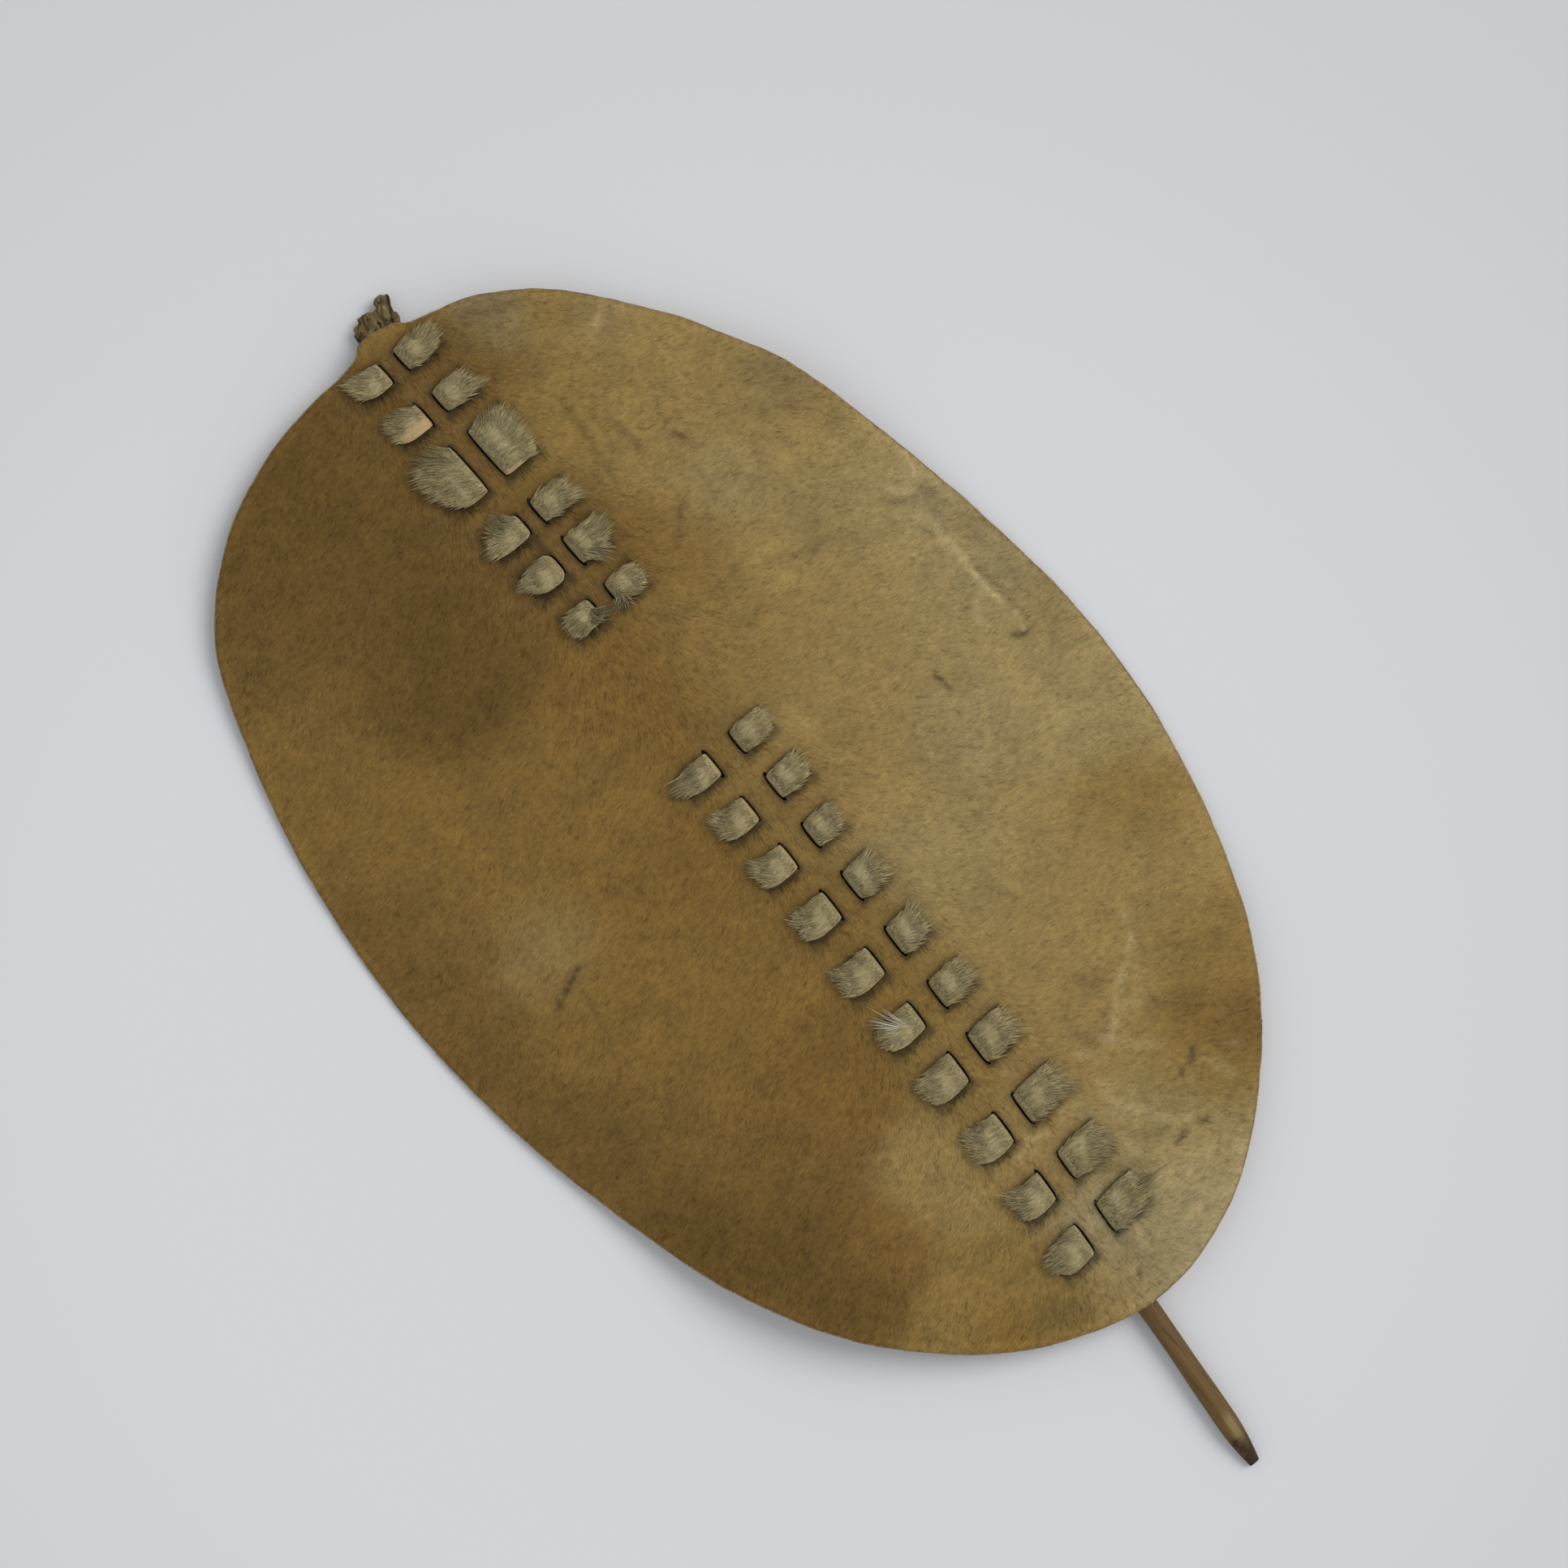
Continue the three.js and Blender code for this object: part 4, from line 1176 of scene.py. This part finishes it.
def build_knot():
    parts = [loft("fold", fold_rings(*fold), ()) for fold in FOLDS]
    radius = TOP_SIZE[1] / 2
    wrap_step = (WRAP_Y[1] - WRAP_Y[0]) / WRAPS
    spin = np.linspace(0, 2 * math.pi, 12, endpoint=False)
    for k in range(WRAPS):
        y = WRAP_Y[0] + wrap_step * (k + 0.5)
        rings = []
        for turn in np.linspace(0, 2 * math.pi, 49):
            out = np.array((math.cos(turn), 0, math.sin(turn)))
            ring = np.array((branch_x(y), y + 0.5 * math.sin(turn + k), branch_under(y) + radius))
            ring = ring + out * (radius - 1.05 + np.cos(spin))[:, None]
            ring[:, 1] += wrap_step * 0.56 * np.sin(spin)
            rings.append(ring)
        parts.append(loft("wrap", rings, ()))
    bpy.ops.object.select_all(action="DESELECT")
    for part in parts:
        part.select_set(True)
        if volume(part.data) < 0:
            part.data.flip_normals()
    bpy.context.view_layer.objects.active = parts[0]
    bpy.ops.object.join()
    remesh = parts[0].modifiers.new("remesh", "REMESH")
    remesh.mode = "VOXEL"
    remesh.voxel_size = 0.42 * MM
    relax = parts[0].modifiers.new("relax", "SMOOTH")
    relax.iterations, relax.factor = 3, 0.5
    graph = bpy.context.evaluated_depsgraph_get()
    mesh = bpy.data.meshes.new_from_object(parts[0].evaluated_get(graph))
    bpy.data.objects.remove(parts[0])
    # The thong has crumpled as it dried. Its creases and the seam between its lobes are darkened with
    # painted shade, and its left lobe is darker.
    points, normals = read_points(mesh) / MM, read_points(mesh, "normal")
    spots = [Vector(p) for p in points.tolist()]
    crumple = np.array([noise.noise(p * 0.42) for p in spots])
    pleats = [Vector((p.x * 0.8 - p.y * 0.35, p.y * 0.16, p.z * 0.5)) for p in spots]
    creases = np.abs([noise.noise(p) for p in pleats])
    points = points + normals * (0.75 * crumple + 0.9 * (np.minimum(creases, 0.35) - 0.2))[:, None]
    points[:, 2] = np.maximum(points[:, 2], 0.0)
    mesh.vertices.foreach_set("co", (points * MM).ravel())
    mesh.polygons.foreach_set("use_smooth", np.ones(len(mesh.polygons), bool))
    mesh.materials.clear()
    mesh.materials.append(dried_thong_finish())
    x, y, _ = points.T
    left = np.exp(-(((x - 4.0) / 2.2) ** 2) - ((y - 349) / 4.5) ** 2)
    seam = bell(x - 25.5 - 0.5 * (y - 350), 0.9)
    crease_shade_and_dark_lobe = np.clip((0.17 - creases) / 0.15, 0, 1) * 0.8 + 0.9 * left + 0.7 * seam
    mark(mesh, "crease_shade_and_dark_lobe", np.clip(crease_shade_and_dark_lobe, 0, 1))
    mesh.name = "thong_knot"
    return add_to_scene(mesh.name, mesh)


def volume(mesh):
    """A closed mesh's volume, which is below zero if it is inside out."""
    mesh.calc_loop_triangles()
    points = np.array([v.co for v in mesh.vertices])
    a, b, c = (points[[t.vertices[k] for t in mesh.loop_triangles]] for k in range(3))
    return np.einsum("ij,ij->i", a, np.cross(b, c)).sum() / 6


knot = build_knot()
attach(knot, "root")
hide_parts("top_knot")

# ---- The panel's coat ----
# The cattle hide's own hair is short, about 4 mm, and lies flat, outward from the branch and a little down
# the shield. It is worn pale along the folds, shorter at the rim, and shorter and sparser beside the slits.

# The hairs' length and radius, and how far ahead of a root the panel's slope is measured.
NAP_LENGTH = 4.4
NAP_RADIUS = 0.24
PROBE = 1.5


def build_nap(side, name, seed):
    """One side's coat, on the panel's own faces."""
    points, faces = panel_front
    faces = faces[(points[:, 0] - branch_x(points[:, 1]))[faces].mean(axis=1) * side > 0]
    used, fresh = np.unique(faces, return_inverse=True)
    faces = fresh.reshape(-1, 3).tolist()
    x, y = points[used].T[:2]
    flat = coat_lay(x, y)
    slope = (hide_top(x + flat[:, 0] * PROBE, y + flat[:, 1] * PROBE) - hide_top(x, y)) / PROBE
    lift = (0.09 if side < 0 else 0.055) + 0.02 * patchy(x, y, 5, 15)
    at_rim = np.clip(rim_distance(x, y) / 5, 0.3, 1)
    at_slit = np.clip((slit_distance(x, y) - 1.9) / 3, 0, 1)
    marks = {
        "lay": np.c_[flat, slope + lift],
        "long": NAP_LENGTH * MM * (1 + 0.15 * patchy(x, y, 4.5, 16)) * at_rim * (0.45 + 0.55 * at_slit),
        "cover": np.clip(at_slit * 3 + 0.3, 0, 1),
        "coat": coat_colour(x, y),
    }
    settings = {"Hairs per square metre": 4.9e5, "Spread": 0.34, "Droop": 0.05, "Roll": 0.2}
    settings.update({"Radius": NAP_RADIUS * MM, "Seed": seed, "Finish": cattle_hair})
    nap = grow(name, points[used], faces, marks, short_hair_tree, settings, smooth=False)


cattle_hair = hair_finish("cattle_hair", 0.7, 0.15, (0.95, 0.08, 0.44), (60, 44, 26), 0.6)
short_hair_tree = hair_tree("short_hairs", 1)
build_nap(-1, "coat_left", 21)
build_nap(1, "coat_right", 22)

# ---- The table and the light ----
# A pale table with a painted pool of light on it, lit by a broad soft window on the right and by a bright
# white room.

FLOOR_SIZE = 6
FLOOR_LEVEL = -0.2
# The table's colour is a painted pool of light: lightest round this place and darker away from it. The
# place, its tone there, and its tone far away.
PAINTED_LIGHT_MIDDLE = (-0.068, -0.024, 0)
NEAR_TONE, FAR_TONE = (0.785, 0.79, 0.805, 1), (0.6, 0.6, 0.615, 1)


def build_table():
    half = FLOOR_SIZE / 2 / MM
    corners = [(x * half, y * half, FLOOR_LEVEL) for x, y in ((-1, -1), (1, -1), (1, 1), (-1, 1))]
    finish = Finish("pale_table_painted_light", 0.75, 0.2)
    away = finish.out("ShaderNodeVectorMath", {0: finish.place, 1: PAINTED_LIGHT_MIDDLE}, 1, operation="DISTANCE")
    tones = {0: finish.ramped(away, 0, 1, 0.3, 1.1), 6: NEAR_TONE, 7: FAR_TONE}
    finish.lay(finish.out("ShaderNodeMix", tones, 2, data_type="RGBA"))
    return build_mesh("table_top", corners, [(0, 1, 2, 3)], finishes=(finish.done(),))


build_table()

sun = add_to_scene("window", bpy.data.lights.new("window", "SUN"))
sun.rotation_euler = Vector((1.0, -0.12, 1.1)).to_track_quat("Z", "Y").to_euler()
sun.data.energy = 1.3
sun.data.angle = math.radians(38)
sun.data.color = (1.0, 0.985, 0.96)

room = bpy.data.worlds.new("white_room")
room.use_nodes = True
room.node_tree.nodes["Background"].inputs["Color"].default_value = (0.93, 0.96, 1.0, 1)
room.node_tree.nodes["Background"].inputs["Strength"].default_value = 0.55
bpy.context.scene.world = room

bpy.context.view_layer.update()
